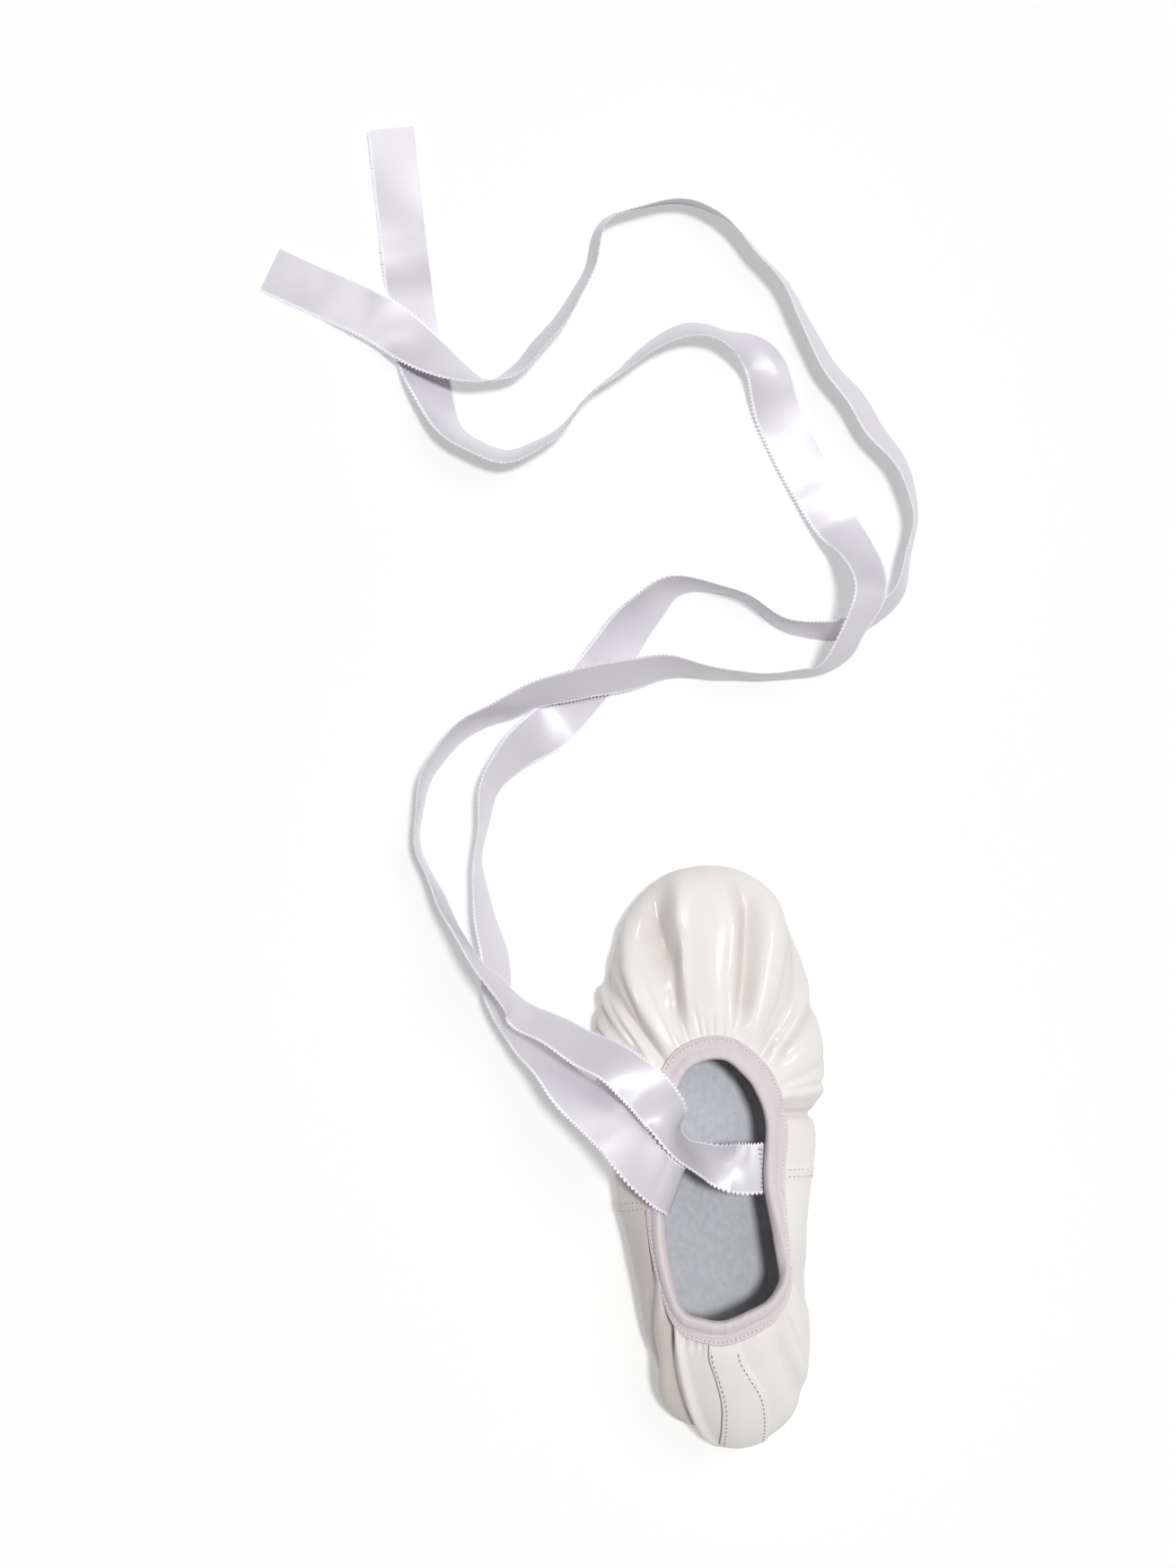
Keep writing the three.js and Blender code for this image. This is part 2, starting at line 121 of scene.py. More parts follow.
# One row for each main fold: ray at the collar, ray at the outline, half width in rays, depth,
# and where it fades in and out down the ray.
FOLDS = (
    (11.25, 10.65, 0.28, 3.4, 0.06, 0.6),
    (8.9, 9.65, 0.26, 3.4, 0.06, 0.6),
    (7.8, 8.5, 0.22, 2.6, 0.06, 0.95),
    (7.3, 7.8, 0.2, 2.4, 0.2, 1.05),
    (12.38, 12.02, 0.2, 2.6, 0.06, 1.05),
    (12.9, 12.55, 0.18, 2.0, 0.2, 1.1),
    (13.7, 13.4, 0.2, 1.8, 0.25, 1.1),
    (6.28, 6.08, 0.28, 2.4, 0.12, 1.2),
    (3.7, 3.6, 0.24, 1.8, 0.3, 1.2),
    (17.5, 17.8, 0.26, 2.4, 0.25, 1.1),
    (1.5, 1.9, 0.24, 1.4, 0.25, 0.95),
)

# One row for each finer crease, in the same columns, where a depth below zero is a ridge.
CREASES = (
    (11.0, 10.38, 0.12, -0.9, 0.08, 0.6),
    (11.42, 10.9, 0.26, 1.5, 0.1, 0.45),
    (10.72, 11.15, 0.27, 2.6, 0.28, 0.6),
    (11.0, 10.66, 0.26, -1.4, 0.4, 0.75),
    (11.7, 9.6, 0.16, 1.1, 0.1, 0.24),
    (8.75, 9.4, 0.22, 1.7, 0.12, 0.6),
    (9.8, 9.38, 0.16, -0.9, 0.14, 0.6),
    (7.78, 8.45, 0.1, 0.7, 0.06, 0.7),
    (12.4, 12.07, 0.1, 0.8, 0.06, 0.8),
    (12.1, 11.3, 0.26, -1.8, 0.1, 0.65),
    (8.35, 8.95, 0.2, -0.8, 0.08, 0.7),
    (10.75, 10.6, 0.2, 0.6, 0.04, 0.22),
    (9.6, 9.75, 0.2, 0.6, 0.04, 0.25),
    (11.8, 11.4, 0.09, 0.5, 0.05, 0.3),
    (8.25, 8.7, 0.09, 0.5, 0.05, 0.3),
    (6.7, 7.0, 0.1, 0.7, 0.12, 0.8),
    (13.3, 12.95, 0.1, 0.7, 0.12, 0.8),
    (12.25, 12.15, 0.06, 1.0, 0.55, 1.1),
    (11.75, 11.55, 0.06, 0.9, 0.6, 1.05),
    (6.2, 6.0, 0.08, 2.2, 0.12, 1.2),
    (6.62, 6.42, 0.2, -1.2, 0.12, 1.1),
    (6.78, 6.6, 0.07, 1.2, 0.15, 1.0),
    (3.5, 3.4, 0.09, 0.8, 0.3, 1.2),
    (17.4, 19.55, 0.15, -2.0, 0.16, 1.3),
    (16.95, 19.12, 0.27, 3.4, 0.16, 1.3),
    (15.6, 17.9, 0.3, 2.0, 0.14, 1.2),
    (16.2, 18.4, 0.25, -1.5, 0.14, 1.2),
    (14.6, 14.4, 0.1, 0.7, 0.2, 1.1),
    (2.3, 2.5, 0.1, 0.6, 0.22, 0.6),
    (10.8, 10.55, 0.1, -0.5, 0.35, 0.75),
    (12.6, 12.5, 0.05, 0.9, 0.6, 1.1),
    (13.0, 12.9, 0.05, 0.8, 0.6, 1.1),
    (13.3, 13.25, 0.05, 0.8, 0.65, 1.1),
    (12.75, 12.15, 0.08, 1.2, 0.25, 0.95),
    (12.55, 11.62, 0.08, 1.3, 0.3, 0.85),
    (12.1, 11.75, 0.06, 0.8, 0.45, 1.1),
    (13.15, 12.8, 0.06, 1.0, 0.25, 1.1),
    (13.6, 13.7, 0.06, 0.8, 0.3, 1.1),
    (8.9, 9.6, 0.16, 1.6, 0.08, 0.5),
    (8.1, 8.75, 0.07, 0.7, 0.08, 0.55),
    (7.5, 8.15, 0.07, 0.8, 0.2, 0.9),
)

# Short pleats just below the binding at the heel, in the same columns.
PLEATS = (
    (18.3, 18.4, 0.1, 0.9, 0.1, 0.26),
    (18.65, 18.75, 0.09, 0.9, 0.1, 0.24),
    (18.95, 19.05, 0.08, 0.8, 0.1, 0.22),
    (19.2, 19.25, 0.07, 0.6, 0.1, 0.2),
)

# Painted shade: darker, warmer leather on the walls, mostly the left wall that faces away from the key
# lamp, in the same columns with its amount for a depth.
PAINTED_WALL_SHADE = (
    (15.2, 16.8, 1.5, 0.72, 0.2, 1.6),
    (16.4, 18.75, 0.5, 0.6, 0.2, 1.6),
    (4.0, 4.0, 1.6, 0.35, 0.9, 1.6),
)

# Raised seams across the sides: ray at the collar, ray at the outline, half width in rays, height.
SIDE_SEAMS = ((5.17, 5.03, 0.1, 0.4), (15.28, 15.38, 0.1, 0.4))

# One row for each level of the heel strip: place down the ray, middle and half width in rays.
STRIP = np.array([
    (0.15, -0.06, 0.6),
    (0.3, -0.15, 0.57),
    (0.42, 0.05, 0.53),
    (0.54, 0.2, 0.55),
    (0.66, 0.18, 0.55),
    (0.85, 0.09, 0.52),
    (1.2, 0.05, 0.49),
    (1.65, 0.03, 0.47),
])

# Section of the collar binding at its full flap: length down from the collar edge,
# height off the leather.
BINDING_SECTION = np.array([
    (9.5, 0.3), (9.75, 0.7), (9.4, 1.05), (8.8, 1.15), (8.1, 0.85), (7.4, 1.15),
    (5.2, 1.1), (3.8, 1.15), (2.8, 1.6), (1.5, 2.05),
    (0.0, 2.15), (-0.9, 1.6), (-1.35, 0.5), (-1.45, -0.7), (-1.3, -1.9), (-0.7, -2.9),
    (0.4, -3.4), (1.8, -3.3), (3.2, -2.8), (5.4, -2.65), (6.0, -2.3), (5.7, -1.95),
    (3.0, -1.9), (-0.5, -1.9), (-0.5, 0.3), (4.5, 0.3),
])

# One row for each ribbon point, from the sewn end to the cut end, in millimetres:
# across, along, height of the lower edge above the floor, roll in degrees with the left edge up.
RIBBON_INNER = np.array([
    (23.2, -3, 31, 0), (13, -3, 33, 2), (7, -2, 31, 20), (-2, 1, 27, 48), (-10, 6, 29, 66),
    (-16, 13, 34, 54), (-21, 23, 39, 24), (-28, 33, 43, 22), (-39, 43, 40, 38), (-52, 50, 32, 46),
    (-66, 59, 24, 54), (-79, 66, 17, 63), (-90, 79, 21, 78), (-102, 102, 10, 82), (-112, 123, 1, 84),
    (-116, 142, 0, 85), (-111, 163, 0, 77), (-89, 182, 0, 68), (-70, 191, 4, 61), (-48, 197, 5, 53),
    (-24, 200, 2, 52), (2, 200, 0, 72), (30, 197, 0, 83), (52, 198, 4, 79), (66, 210, 18, 62),
    (73, 228, 19.5, 48), (69, 248, 4, 32), (57, 270, 0, 12), (42, 303, 0, 8), (34, 328, 0, 30),
    (22, 338, 0, 66), (4, 341, 0, 66), (-14, 332, 0, 74), (-38, 313, 0, 83), (-58, 298, 0, 74),
    (-74, 292, 0, 68), (-90, 299, 0, 66), (-101, 317, 0, 42), (-107, 343, 0, 3), (-114, 431, 0, 4),
])
RIBBON_OUTER = np.array([
    (-22.6, -9.2, 31, 0), (-17.2, -9.6, 36.5, 0), (-16.6, -9.4, 42, 0),
    (-21, -6, 46.5, 0), (-29, 2, 45.5, 2),
    (-38, 14, 41, 8), (-47, 23, 35, 14), (-57, 32, 26, 36), (-66, 42, 17, 54), (-75, 51, 9, 64),
    (-82, 61, 4, 66), (-86, 78, 1, 54), (-90, 103, 0, 66), (-90, 130, 0, 82), (-85, 154, 0, 68),
    (-74, 171, 0, 42), (-58, 181, 0, 8), (-36, 204, 0, 6), (-20, 224, 0, 36), (-8, 235, 0, 62),
    (4, 236, 0, 78), (22, 228, 0, 85), (43, 217, 0, 76), (68, 216, 0, 66), (86, 228, 0, 73),
    (95, 253, 0, 80), (92, 274, 0, 72), (79, 300, 0, 60), (63, 324, 0, 66), (46, 355, 0, 76),
    (30, 380, 0, 80), (8, 393, 0, 86), (-25, 387, 0, 78), (-38, 364, 0, 75),
    (-52, 341, 0, 69), (-68, 327, 0, 72), (-80, 323, 0, 80), (-102, 336, 4, 34), (-122, 351, 2, 4),
    (-167, 375, 0, 0),
])


def length_setting(name, description, default):
    """A size in metres that a user may change."""
    return FloatProperty(name=name, description=description, default=default, unit="LENGTH")


def colour_setting(name, description, red, green, blue):
    """A colour that a user may change."""
    return FloatVectorProperty(
        name=name, description=description, subtype="COLOR", size=4, default=(red, green, blue, 1.0))


class BalletSizes(bpy.types.PropertyGroup):
    """Sizes of the shoe and its trimmings."""
    length: length_setting("Length", "Outside length", 0.24)
    ball_width: length_setting("Ball width", "Widest outside width", 0.095)
    instep: length_setting("Instep", "Height of the throat", 0.036)
    heel: length_setting("Heel", "Height of the collar at the back", 0.044)
    wall: length_setting("Wall", "Leather thickness", 0.0014)
    sole: length_setting("Sole", "Outsole thickness", 0.0022)
    insole: length_setting("Insole", "Lining sock thickness", 0.0016)
    toe_spring: length_setting("Toe spring", "Rise of the toe", 0.003)
    arch: length_setting("Arch", "Rise of the waist", 0.0015)
    ribbon_width: length_setting("Ribbon width", "Width of the ribbons", 0.019)
    ribbon_thick: length_setting("Ribbon", "Ribbon thickness", 0.0004)
    stitch_pitch: length_setting("Stitch pitch", "Length of a stitch", 0.0023)
    camera_height: length_setting("Camera", "Camera above the floor", 1.3)


class BalletColours(bpy.types.PropertyGroup):
    """Colours of the finishes."""
    leather: colour_setting("Leather", "Cream leather", 0.858, 0.836, 0.814)
    # Painted shade: the darker, warmer colour the leather is mixed towards in folds, creases, on the walls
    # and on the inner face.
    crease: colour_setting("Crease", "Leather in the folds", 0.62, 0.57, 0.52)
    cloth: colour_setting("Cloth", "Collar binding", 0.745, 0.67, 0.70)
    satin: colour_setting("Satin", "Ribbons", 0.69, 0.672, 0.722)
    lining: colour_setting("Lining", "Insole", 0.55, 0.565, 0.60)
    suede: colour_setting("Suede", "Outsole", 0.60, 0.55, 0.48)
    thread: colour_setting("Thread", "Stitches", 0.86, 0.80, 0.80)
    russet: colour_setting("Russet", "Hand stitches on the ribbon end", 0.46, 0.29, 0.23)
    floor: colour_setting("Floor", "Studio floor", 0.62, 0.62, 0.62)


class Value:
    """A node socket that takes part in sums."""

    def __init__(self, finish, socket):
        self.finish = finish
        self.socket = socket

    def _sum(self, operation, first, second):
        return self.finish.node("ShaderNodeMath", {"operation": operation}, {0: first, 1: second})

    def __add__(self, other):
        return self._sum("ADD", self, other)

    def __radd__(self, other):
        return self._sum("ADD", other, self)

    def __mul__(self, other):
        return self._sum("MULTIPLY", self, other)

    def __rmul__(self, other):
        return self._sum("MULTIPLY", other, self)


class Finish:
    """A material built from nodes, with the sockets of one surface shader."""

    def __init__(self, name):
        self.material = bpy.data.materials.new(name)
        self.material.use_nodes = True
        self.tree = self.material.node_tree
        self.shader = self.tree.nodes["Principled BSDF"]

    def node(self, kind, settings=None, sockets=None, output=0):
        """Adds a node: its settings first, then the values or links of its sockets."""
        made = self.tree.nodes.new(kind)
        for key, setting in (settings or {}).items():
            if key == "stops":
                self._set_stops(made.color_ramp, setting)
            else:
                setattr(made, key, setting)
        for key, value in (sockets or {}).items():
            self._feed(made.inputs[key], value)
        return Value(self, made.outputs[output])

    def _set_stops(self, ramp, stops):
        while len(ramp.elements) < len(stops):
            ramp.elements.new(1.0)
        for element, (place, level) in zip(ramp.elements, stops):
            element.position = place
            element.color = (level, level, level, 1.0)

    def _feed(self, socket, value):
        if isinstance(value, Value):
            self.tree.links.new(value.socket, socket)
        else:
            socket.default_value = value

    def set(self, **sockets):
        """Feeds sockets of the surface shader, named with underscores for spaces."""
        for key, value in sockets.items():
            self._feed(self.shader.inputs[key.replace("_", " ")], value)

    def place(self, output="Object"):
        """Coordinates in metres of the frame, or along and across a strip."""
        return self.node("ShaderNodeTexCoord", output=output)

    def attribute(self, name):
        """A number that the mesh carries at each point."""
        return self.node("ShaderNodeAttribute", {"attribute_name": name}, output="Fac")

    def stretched(self, place, scale):
        """Coordinates scaled on each axis."""
        return self.node("ShaderNodeMapping", {}, {"Vector": place, "Scale": scale})

    def noise(self, place, scale, detail=3.0, roughness=0.5):
        """Soft noise from 0 to 1."""
        return self.node("ShaderNodeTexNoise", {}, {
            "Vector": place, "Scale": scale, "Detail": detail, "Roughness": roughness})

    def wave(self, place, direction, scale, distortion, detail=2.0):
        """Soft bands from 0 to 1."""
        return self.node("ShaderNodeTexWave", {"bands_direction": direction}, {
            "Vector": place, "Scale": scale, "Distortion": distortion, "Detail": detail}, output="Fac")

    def cells(self, place, scale):
        """Distance to the nearest of scattered points."""
        return self.node("ShaderNodeTexVoronoi", {}, {"Vector": place, "Scale": scale})

    def ramp(self, value, *stops):
        """A value passed through brightness stops."""
        return self.node("ShaderNodeValToRGB", {"stops": stops}, {"Fac": value})

    def mixed(self, share, first, second):
        """A colour between two colours."""
        return self.node("ShaderNodeMix", {"data_type": "RGBA"}, {0: share, 6: first, 7: second}, output=2)

    def shaded(self, share, colour, low, high):
        """One colour between a darker and a lighter level of itself."""
        return self.mixed(share, shade(colour, low), shade(colour, high))

    def relief(self, height, depth, strength):
        """Bumps of a depth in metres on the surface."""
        self.set(Normal=self.node("ShaderNodeBump", {}, {
            "Strength": strength, "Distance": depth, "Height": height}))


def shade(colour, level):
    """A colour made darker or lighter by a factor."""
    return tuple(channel * level for channel in colour[:3]) + (1.0,)


def leather_finish(colours):
    """Smooth cream leather with fine grain and soft gloss, mixed towards a darker, warmer colour as painted
    shade in its folds, on its walls and on its inner face.
    """
    finish = Finish("cream_leather")
    place = finish.place()
    patches = finish.noise(place, scale=38.0, detail=4.0)
    base = finish.shaded(patches, colours.leather, low=0.97, high=1.02)
    # Painted shade: the base is mixed towards the darker fold colour by the share each point carries.
    finish.set(Base_Color=finish.mixed(finish.attribute("crease"), base, tuple(colours.crease)))
    pores = finish.cells(place, scale=1500.0)
    drawn = finish.stretched(place, (1.0, 0.45, 1.0))
    wrinkles = finish.noise(drawn, scale=320.0, detail=5.0, roughness=0.6)
    dents = finish.noise(place, scale=85.0, detail=2.0)
    finish.set(Roughness=0.34 + patches * 0.12 + wrinkles * 0.1)
    finish.relief(wrinkles * 0.75 + pores * 0.25 + dents * 1.6, depth=0.00035, strength=0.45)
    finish.set(Coat_Weight=0.24, Coat_Roughness=0.13, Specular_IOR_Level=0.35, IOR=1.48)
    return finish.material


def satin_finish(colours):
    """Pale satin ribbon with fine lengthwise threads and whiter edge loops."""
    finish = Finish("pale_satin")
    strip = finish.place("UV")
    threads = finish.noise(finish.stretched(strip, (9000.0, 160.0, 1.0)), scale=1.0, detail=2.0)
    clouds = finish.noise(strip, scale=60.0, detail=2.0)
    loops = finish.attribute("picot")
    band = finish.shaded(threads * 0.6 + clouds * 0.4, colours.satin, low=0.94, high=1.04)
    finish.set(Base_Color=finish.mixed(loops, band, shade(colours.satin, 1.36)))
    finish.set(Roughness=0.32 + threads * 0.1 + loops * 0.3)
    finish.relief(threads, depth=0.00006, strength=0.5)
    finish.set(Specular_IOR_Level=0.9, IOR=1.75, Sheen_Weight=0.1, Sheen_Roughness=0.4)
    return finish.material


def cloth_finish(colours):
    """Woven binding cloth."""
    finish = Finish("binding_cloth")
    strip = finish.place("UV")
    warp = finish.wave(strip, "X", scale=480.0, distortion=1.2, detail=1.0)
    weft = finish.wave(strip, "Y", scale=480.0, distortion=1.2, detail=1.0)
    weave = warp * weft
    fuzz = finish.noise(finish.place(), scale=900.0)
    finish.set(Base_Color=finish.shaded(fuzz * 0.5 + weave * 0.5, colours.cloth, low=0.93, high=1.04))
    finish.set(Roughness=0.62 + fuzz * 0.2)
    finish.relief(weave * 0.7 + fuzz * 0.3, depth=0.00018, strength=0.6)
    finish.set(Sheen_Weight=0.3)
    return finish.material


def lining_finish(colours):
    """Brushed blue grey lining with a soft mottled nap, darker towards the heel."""
    heel_darkening_slope = 8.0
    heel_darkening_start = 0.6
    finish = Finish("brushed_lining")
    place = finish.place()
    nap = finish.noise(place, scale=1500.0, detail=4.0, roughness=0.7)
    mottle = finish.noise(finish.stretched(place, (1.0, 0.7, 1.0)), scale=420.0, detail=4.0, roughness=0.65)
    wear = finish.noise(place, scale=60.0, detail=4.0, roughness=0.6)
    spread = finish.ramp(nap * 0.35 + mottle * 0.45 + wear * 0.2, (0.36, 0.0), (0.62, 1.0))
    lighter_front = finish.shaded(spread, colours.lining, low=0.92, high=1.2)
    # Darker towards the heel: the back of the lining takes a darker copy of its colour.
    darker_back = finish.shaded(spread, colours.lining, low=0.66, high=0.88)
    along = finish.node("ShaderNodeSeparateXYZ", {}, {"Vector": place}, output="Y")
    front = finish.ramp(along * heel_darkening_slope + heel_darkening_start, (0.0, 0.0), (1.0, 1.0))
    finish.set(Base_Color=finish.mixed(front, darker_back, lighter_front), Roughness=0.82 + nap * 0.15)
    finish.relief(nap * 0.6 + mottle * 0.4, depth=0.0004, strength=0.7)
    finish.set(Sheen_Weight=0.3)
    return finish.material


def suede_finish(colours):
    """Napped suede of the outsole."""
    finish = Finish("sole_suede")
    place = finish.place()
    nap = finish.noise(place, scale=900.0, detail=5.0, roughness=0.7)
    patches = finish.noise(place, scale=45.0, detail=4.0)
    finish.set(Base_Color=finish.shaded(patches * 0.6 + nap * 0.4, colours.suede, low=0.85, high=1.12))
    finish.set(Roughness=0.85 + nap * 0.12)
    finish.relief(nap, depth=0.0004, strength=0.6)
    finish.set(Sheen_Weight=0.4)
    return finish.material


def twisted_finish(name, colour):
    """Twisted thread of one colour."""
    finish = Finish(name)
    twist = finish.wave(finish.place(), "DIAGONAL", scale=900.0, distortion=2.0)
    finish.set(Base_Color=finish.shaded(twist, colour, low=0.86, high=1.03))
    finish.set(Roughness=0.5 + twist * 0.15)
    finish.relief(twist, depth=0.00008, strength=0.5)
    return finish.material


def raw_edge_and_shade_finish(colours):
    """The fibrous cut edge of the leather, coloured darker as painted shade too."""
    finish = Finish("raw_edge_and_shade")
    fibres = finish.noise(finish.place(), scale=1400.0, roughness=0.6)
    finish.set(Base_Color=finish.shaded(fibres, colours.suede, low=0.62, high=0.95))
    finish.set(Roughness=0.78 + fibres * 0.15)
    finish.relief(fibres, depth=0.0002, strength=0.5)
    return finish.material


def hole_shade_finish(colours):
    """The dark mouth of a needle hole, coloured as painted shade."""
    finish = Finish("needle_hole_shade")
    fray = finish.noise(finish.place(), scale=2500.0, detail=2.0)
    finish.set(Base_Color=finish.shaded(fray, colours.thread, low=0.22, high=0.45))
    finish.set(Roughness=0.8 + fray * 0.15)
    return finish.material


def floor_finish(colours):
    """Plain pale studio floor, faintly lit from below."""
    finish = Finish("pale_floor")
    drift = finish.noise(finish.place(), scale=6.0, detail=2.0)
    finish.set(Base_Color=finish.shaded(drift, colours.floor, low=0.995, high=1.0))
    finish.set(Roughness=0.8, Specular_IOR_Level=0.1)
    finish.set(Emission_Color=(1.0, 1.0, 1.0, 1.0), Emission_Strength=0.37)
    return finish.material


FINISHES = {
    "cream_leather": leather_finish,
    "pale_satin": satin_finish,
    "binding_cloth": cloth_finish,
    "brushed_lining": lining_finish,
    "sole_suede": suede_finish,
    "sewing_thread": lambda colours: twisted_finish("sewing_thread", colours.thread),
    "russet_thread": lambda colours: twisted_finish("russet_thread", colours.russet),
    "raw_edge_and_shade": raw_edge_and_shade_finish,
    "needle_hole_shade": hole_shade_finish,
    "pale_floor": floor_finish,
}


def finish_named(name):
    """A finish by name, made on first use."""
    if name not in bpy.data.materials:
        FINISHES[name](bpy.context.scene.ballet_colours)
    return bpy.data.materials[name]


def cubic(before, start, end, after, share):
    """Cubic blend of four neighbours, the share running from start to end."""
    bend = 2 * before - 5 * start + 4 * end - after
    twist = 3 * start - before - 3 * end + after
    return 0.5 * (2 * start + (end - before) * share + bend * share ** 2 + twist * share ** 3)


def ease(begin, finish, value):
    """Step from 0 to 1 with soft ends."""
    share = np.clip((value - begin) / (finish - begin), 0.0, 1.0)
    return share * share * (3 - 2 * share)


def shown_between(value, begin, run, end, tail):
    """1 between two values and 0 outside them, with a soft run in and a soft tail out."""
    return ease(begin, begin + run, value) * (1 - ease(end, end + tail, value))


def unit(vectors):
    """Vectors of length 1."""
    return vectors / np.maximum(np.linalg.norm(vectors, axis=-1, keepdims=True), LEAST_LENGTH)


def ray_gap(turn, line):
    """Rays from a line to a place, the short way round the shoe."""
    away = turn - line
    return away - len(RAYS) * np.round(away / len(RAYS))


def travel_along(points):
    """Length run from the first of a line of points to each of them."""
    return np.concatenate([[0], np.cumsum(np.linalg.norm(np.diff(points, axis=0), axis=1))])


def table_at(table, place):
    """A table read at values of its first column."""
    last = len(table) - 1
    place = np.clip(place, table[0, 0], table[last, 0])
    base = np.clip(np.searchsorted(table[:, 0], place, side="right") - 1, 0, last - 1)
    share = ((place - table[base, 0]) / (table[base + 1, 0] - table[base, 0]))[..., None]
    return cubic(*(table[np.clip(base + step, 0, last)] for step in NEIGHBOURS), share)


class UpperForm:
    """The leather upper as a function of the ray round the shoe and the place down the ray."""
    SEED = 11
    GATHER_ZONES = ((6.6, 13.9, 0.45, 0.85), (20.7, 22.6, 0.35, 0.35))
    # Ranges of a gather's spacing, lean, half width, depth share and end
    GATHER_DRAWS = ((0.6, 1.4), (-0.12, 0.12), (0.05, 0.1), (0.4, 1.0), (0.03, 0.12))
    GATHER_START = 0.02
    FOLD_FADE = 0.2
    FOLD_TAIL = 0.45
    SHORT_FADE = 0.06
    GATHER_TAIL = 0.09
    PLEAT_TAIL = 0.12
    SEAM_END = 1.3
    SEAM_TAIL = 0.4
    SWAY = 0.12
    SWAY_TURN = 37.0
    SWELLS = ((0.9, 2.3, 0.35), (1.7, 3.9, 0.25), (2.6, 1.3, 0.2), (3.4, 5.2, 0.15))
    SWELL_SPAN = (0.1, 0.25, 1.2, 0.6)
    SWELL_ROUNDS = 7
    EDGE_PLEAT_ZONES = ((10.0, 2.4, 1.0), (0.0, 2.0, 0.7))
    EDGE_PLEAT_PITCH = 0.19
    EDGE_PLEAT_BASE = 0.6
    EDGE_PLEAT_DEPTH = 0.9
    EDGE_PLEAT_SPAN = (1.25, 0.35, 2.0, 0.3)
    LOOP_STEPS = 1601
    RULER_STEPS = 181
    RULER_END = 0.9

    def __init__(self):
        sizes = bpy.context.scene.ballet_sizes
        self.half_length = sizes.length / MM / TABLE_SPAN
        self.half_width = sizes.ball_width / MM / TABLE_SPAN
        for size in ("instep", "heel", "wall", "sole", "insole", "toe_spring", "arch"):
            setattr(self, size, getattr(sizes, size) / MM)
        self.gathers = self._gathers()

    def _gathers(self):
        """Small puckers where the binding draws the leather in."""
        draw = np.random.default_rng(self.SEED)
        rows = []
        for start, end, pitch, depth in self.GATHER_ZONES:
            ray = start
            while ray < end:
                draws = [draw.uniform(*ends) for ends in self.GATHER_DRAWS]
                space, lean, half_width, share, fade_out = draws
                ray += pitch * space
                rows.append((ray, ray + lean, half_width, depth * share, self.GATHER_START, fade_out))
        return rows

    def ground(self, along):
        """Height of the sole's underside above the floor."""
        spring = self.toe_spring * (np.maximum(along - SPRING_START, 0) / SPRING_RUN) ** 2
        share = np.clip((along - ARCH_BACK) / (ARCH_FRONT - ARCH_BACK), 0, 1)
        return spring + self.arch * np.sin(np.pi * share) ** 2

    def plan(self, across, along, height):
        """Points from the ray table's shares of half the width and half the length."""
        return np.stack([across * self.half_width, along * self.half_length, height], axis=-1)

    def ends(self, turn):
        """Ray values, collar edge, widest point and inward direction in plan."""
        base = np.floor(turn).astype(int)
        share = (turn - base)[..., None]
        ray = cubic(*(RAYS[(base + step) % len(RAYS)] for step in NEIGHBOURS), share)
        rim = self.instep + (self.heel - self.instep) * ray[..., RISE]
        collar = self.plan(ray[..., COLLAR_X], ray[..., COLLAR_Y], rim)
        outline = self.plan(ray[..., OUTLINE_X], ray[..., OUTLINE_Y], np.zeros_like(rim))
        inward = collar - outline
        inward[..., 2] = 0
        outline[..., 2] = ray[..., BULGE] + self.ground(outline[..., 1])
        return ray, collar, outline, unit(inward)

    def smooth(self, turn, down):
        """The surface before folds: 0 to 1 over the top, 1 to 2 under to the margin, 2 to 3 along it."""
        ray, collar, outline, inward = self.ends(turn)
        angle = np.clip(down, 0, 1) * np.pi / 2
        run = np.sin(angle) ** (2 / ray[..., CROWN])
        over = collar + (outline - collar) * run[..., None]
        over[..., 2] = outline[..., 2] + (collar[..., 2] - outline[..., 2]) * np.cos(angle)
        angle = np.clip(down - 1, 0, 1) * np.pi / 2
        reach = ray[..., TUCK] * (1 - np.cos(angle)) + LASTING_MARGIN * np.clip(down - 2, 0, 1)
        under = outline + inward * reach[..., None]
        base = self.sole + GAP
        lift = (outline[..., 2] - self.ground(outline[..., 1]) - base) * (1 - np.sin(angle))
        under[..., 2] = base + self.ground(under[..., 1]) + lift
        return np.where((down <= 1)[..., None], over, under)

    def outward(self, surface, turn, down, step=0.02):
        """Outward direction of a surface function."""
        ahead = surface(turn + step, down) - surface(turn - step, down)
        below = surface(turn, np.minimum(down + step, RAY_END)) - surface(turn, np.maximum(down - step, 0))
        return unit(np.cross(below, ahead))

    def fold_sum(self, rows, turn, down, fade=FOLD_FADE, tail=FOLD_TAIL, sway=0.0):
        """Depth of a table of folds at a place, each line swaying a little to its own side."""
        depth = np.zeros(np.broadcast(turn, down).shape)
        share = np.minimum(down, 1)
        for collar_ray, outline_ray, half_width, deep, fade_in, fade_out in rows:
            aside = sway * np.sin(collar_ray * self.SWAY_TURN) * np.sin(np.pi * share)
            away = ray_gap(turn, collar_ray + (outline_ray - collar_ray) * share + aside)
            shown = shown_between(down, fade_in, fade, fade_out, tail)
            depth += deep * shown * np.exp(-(away / half_width) ** 2)
        return depth

    def folded(self, turn, down):
        """Outer face with its main folds, as in the solids."""
        depth = self.fold_sum(FOLDS, turn, down)
        return self.smooth(turn, down) - self.outward(self.smooth, turn, down) * depth[..., None]

    def crease_depth(self, turn, down):
        """Depth of the finer creases."""
        return self.fold_sum(CREASES, turn, down, sway=self.SWAY)

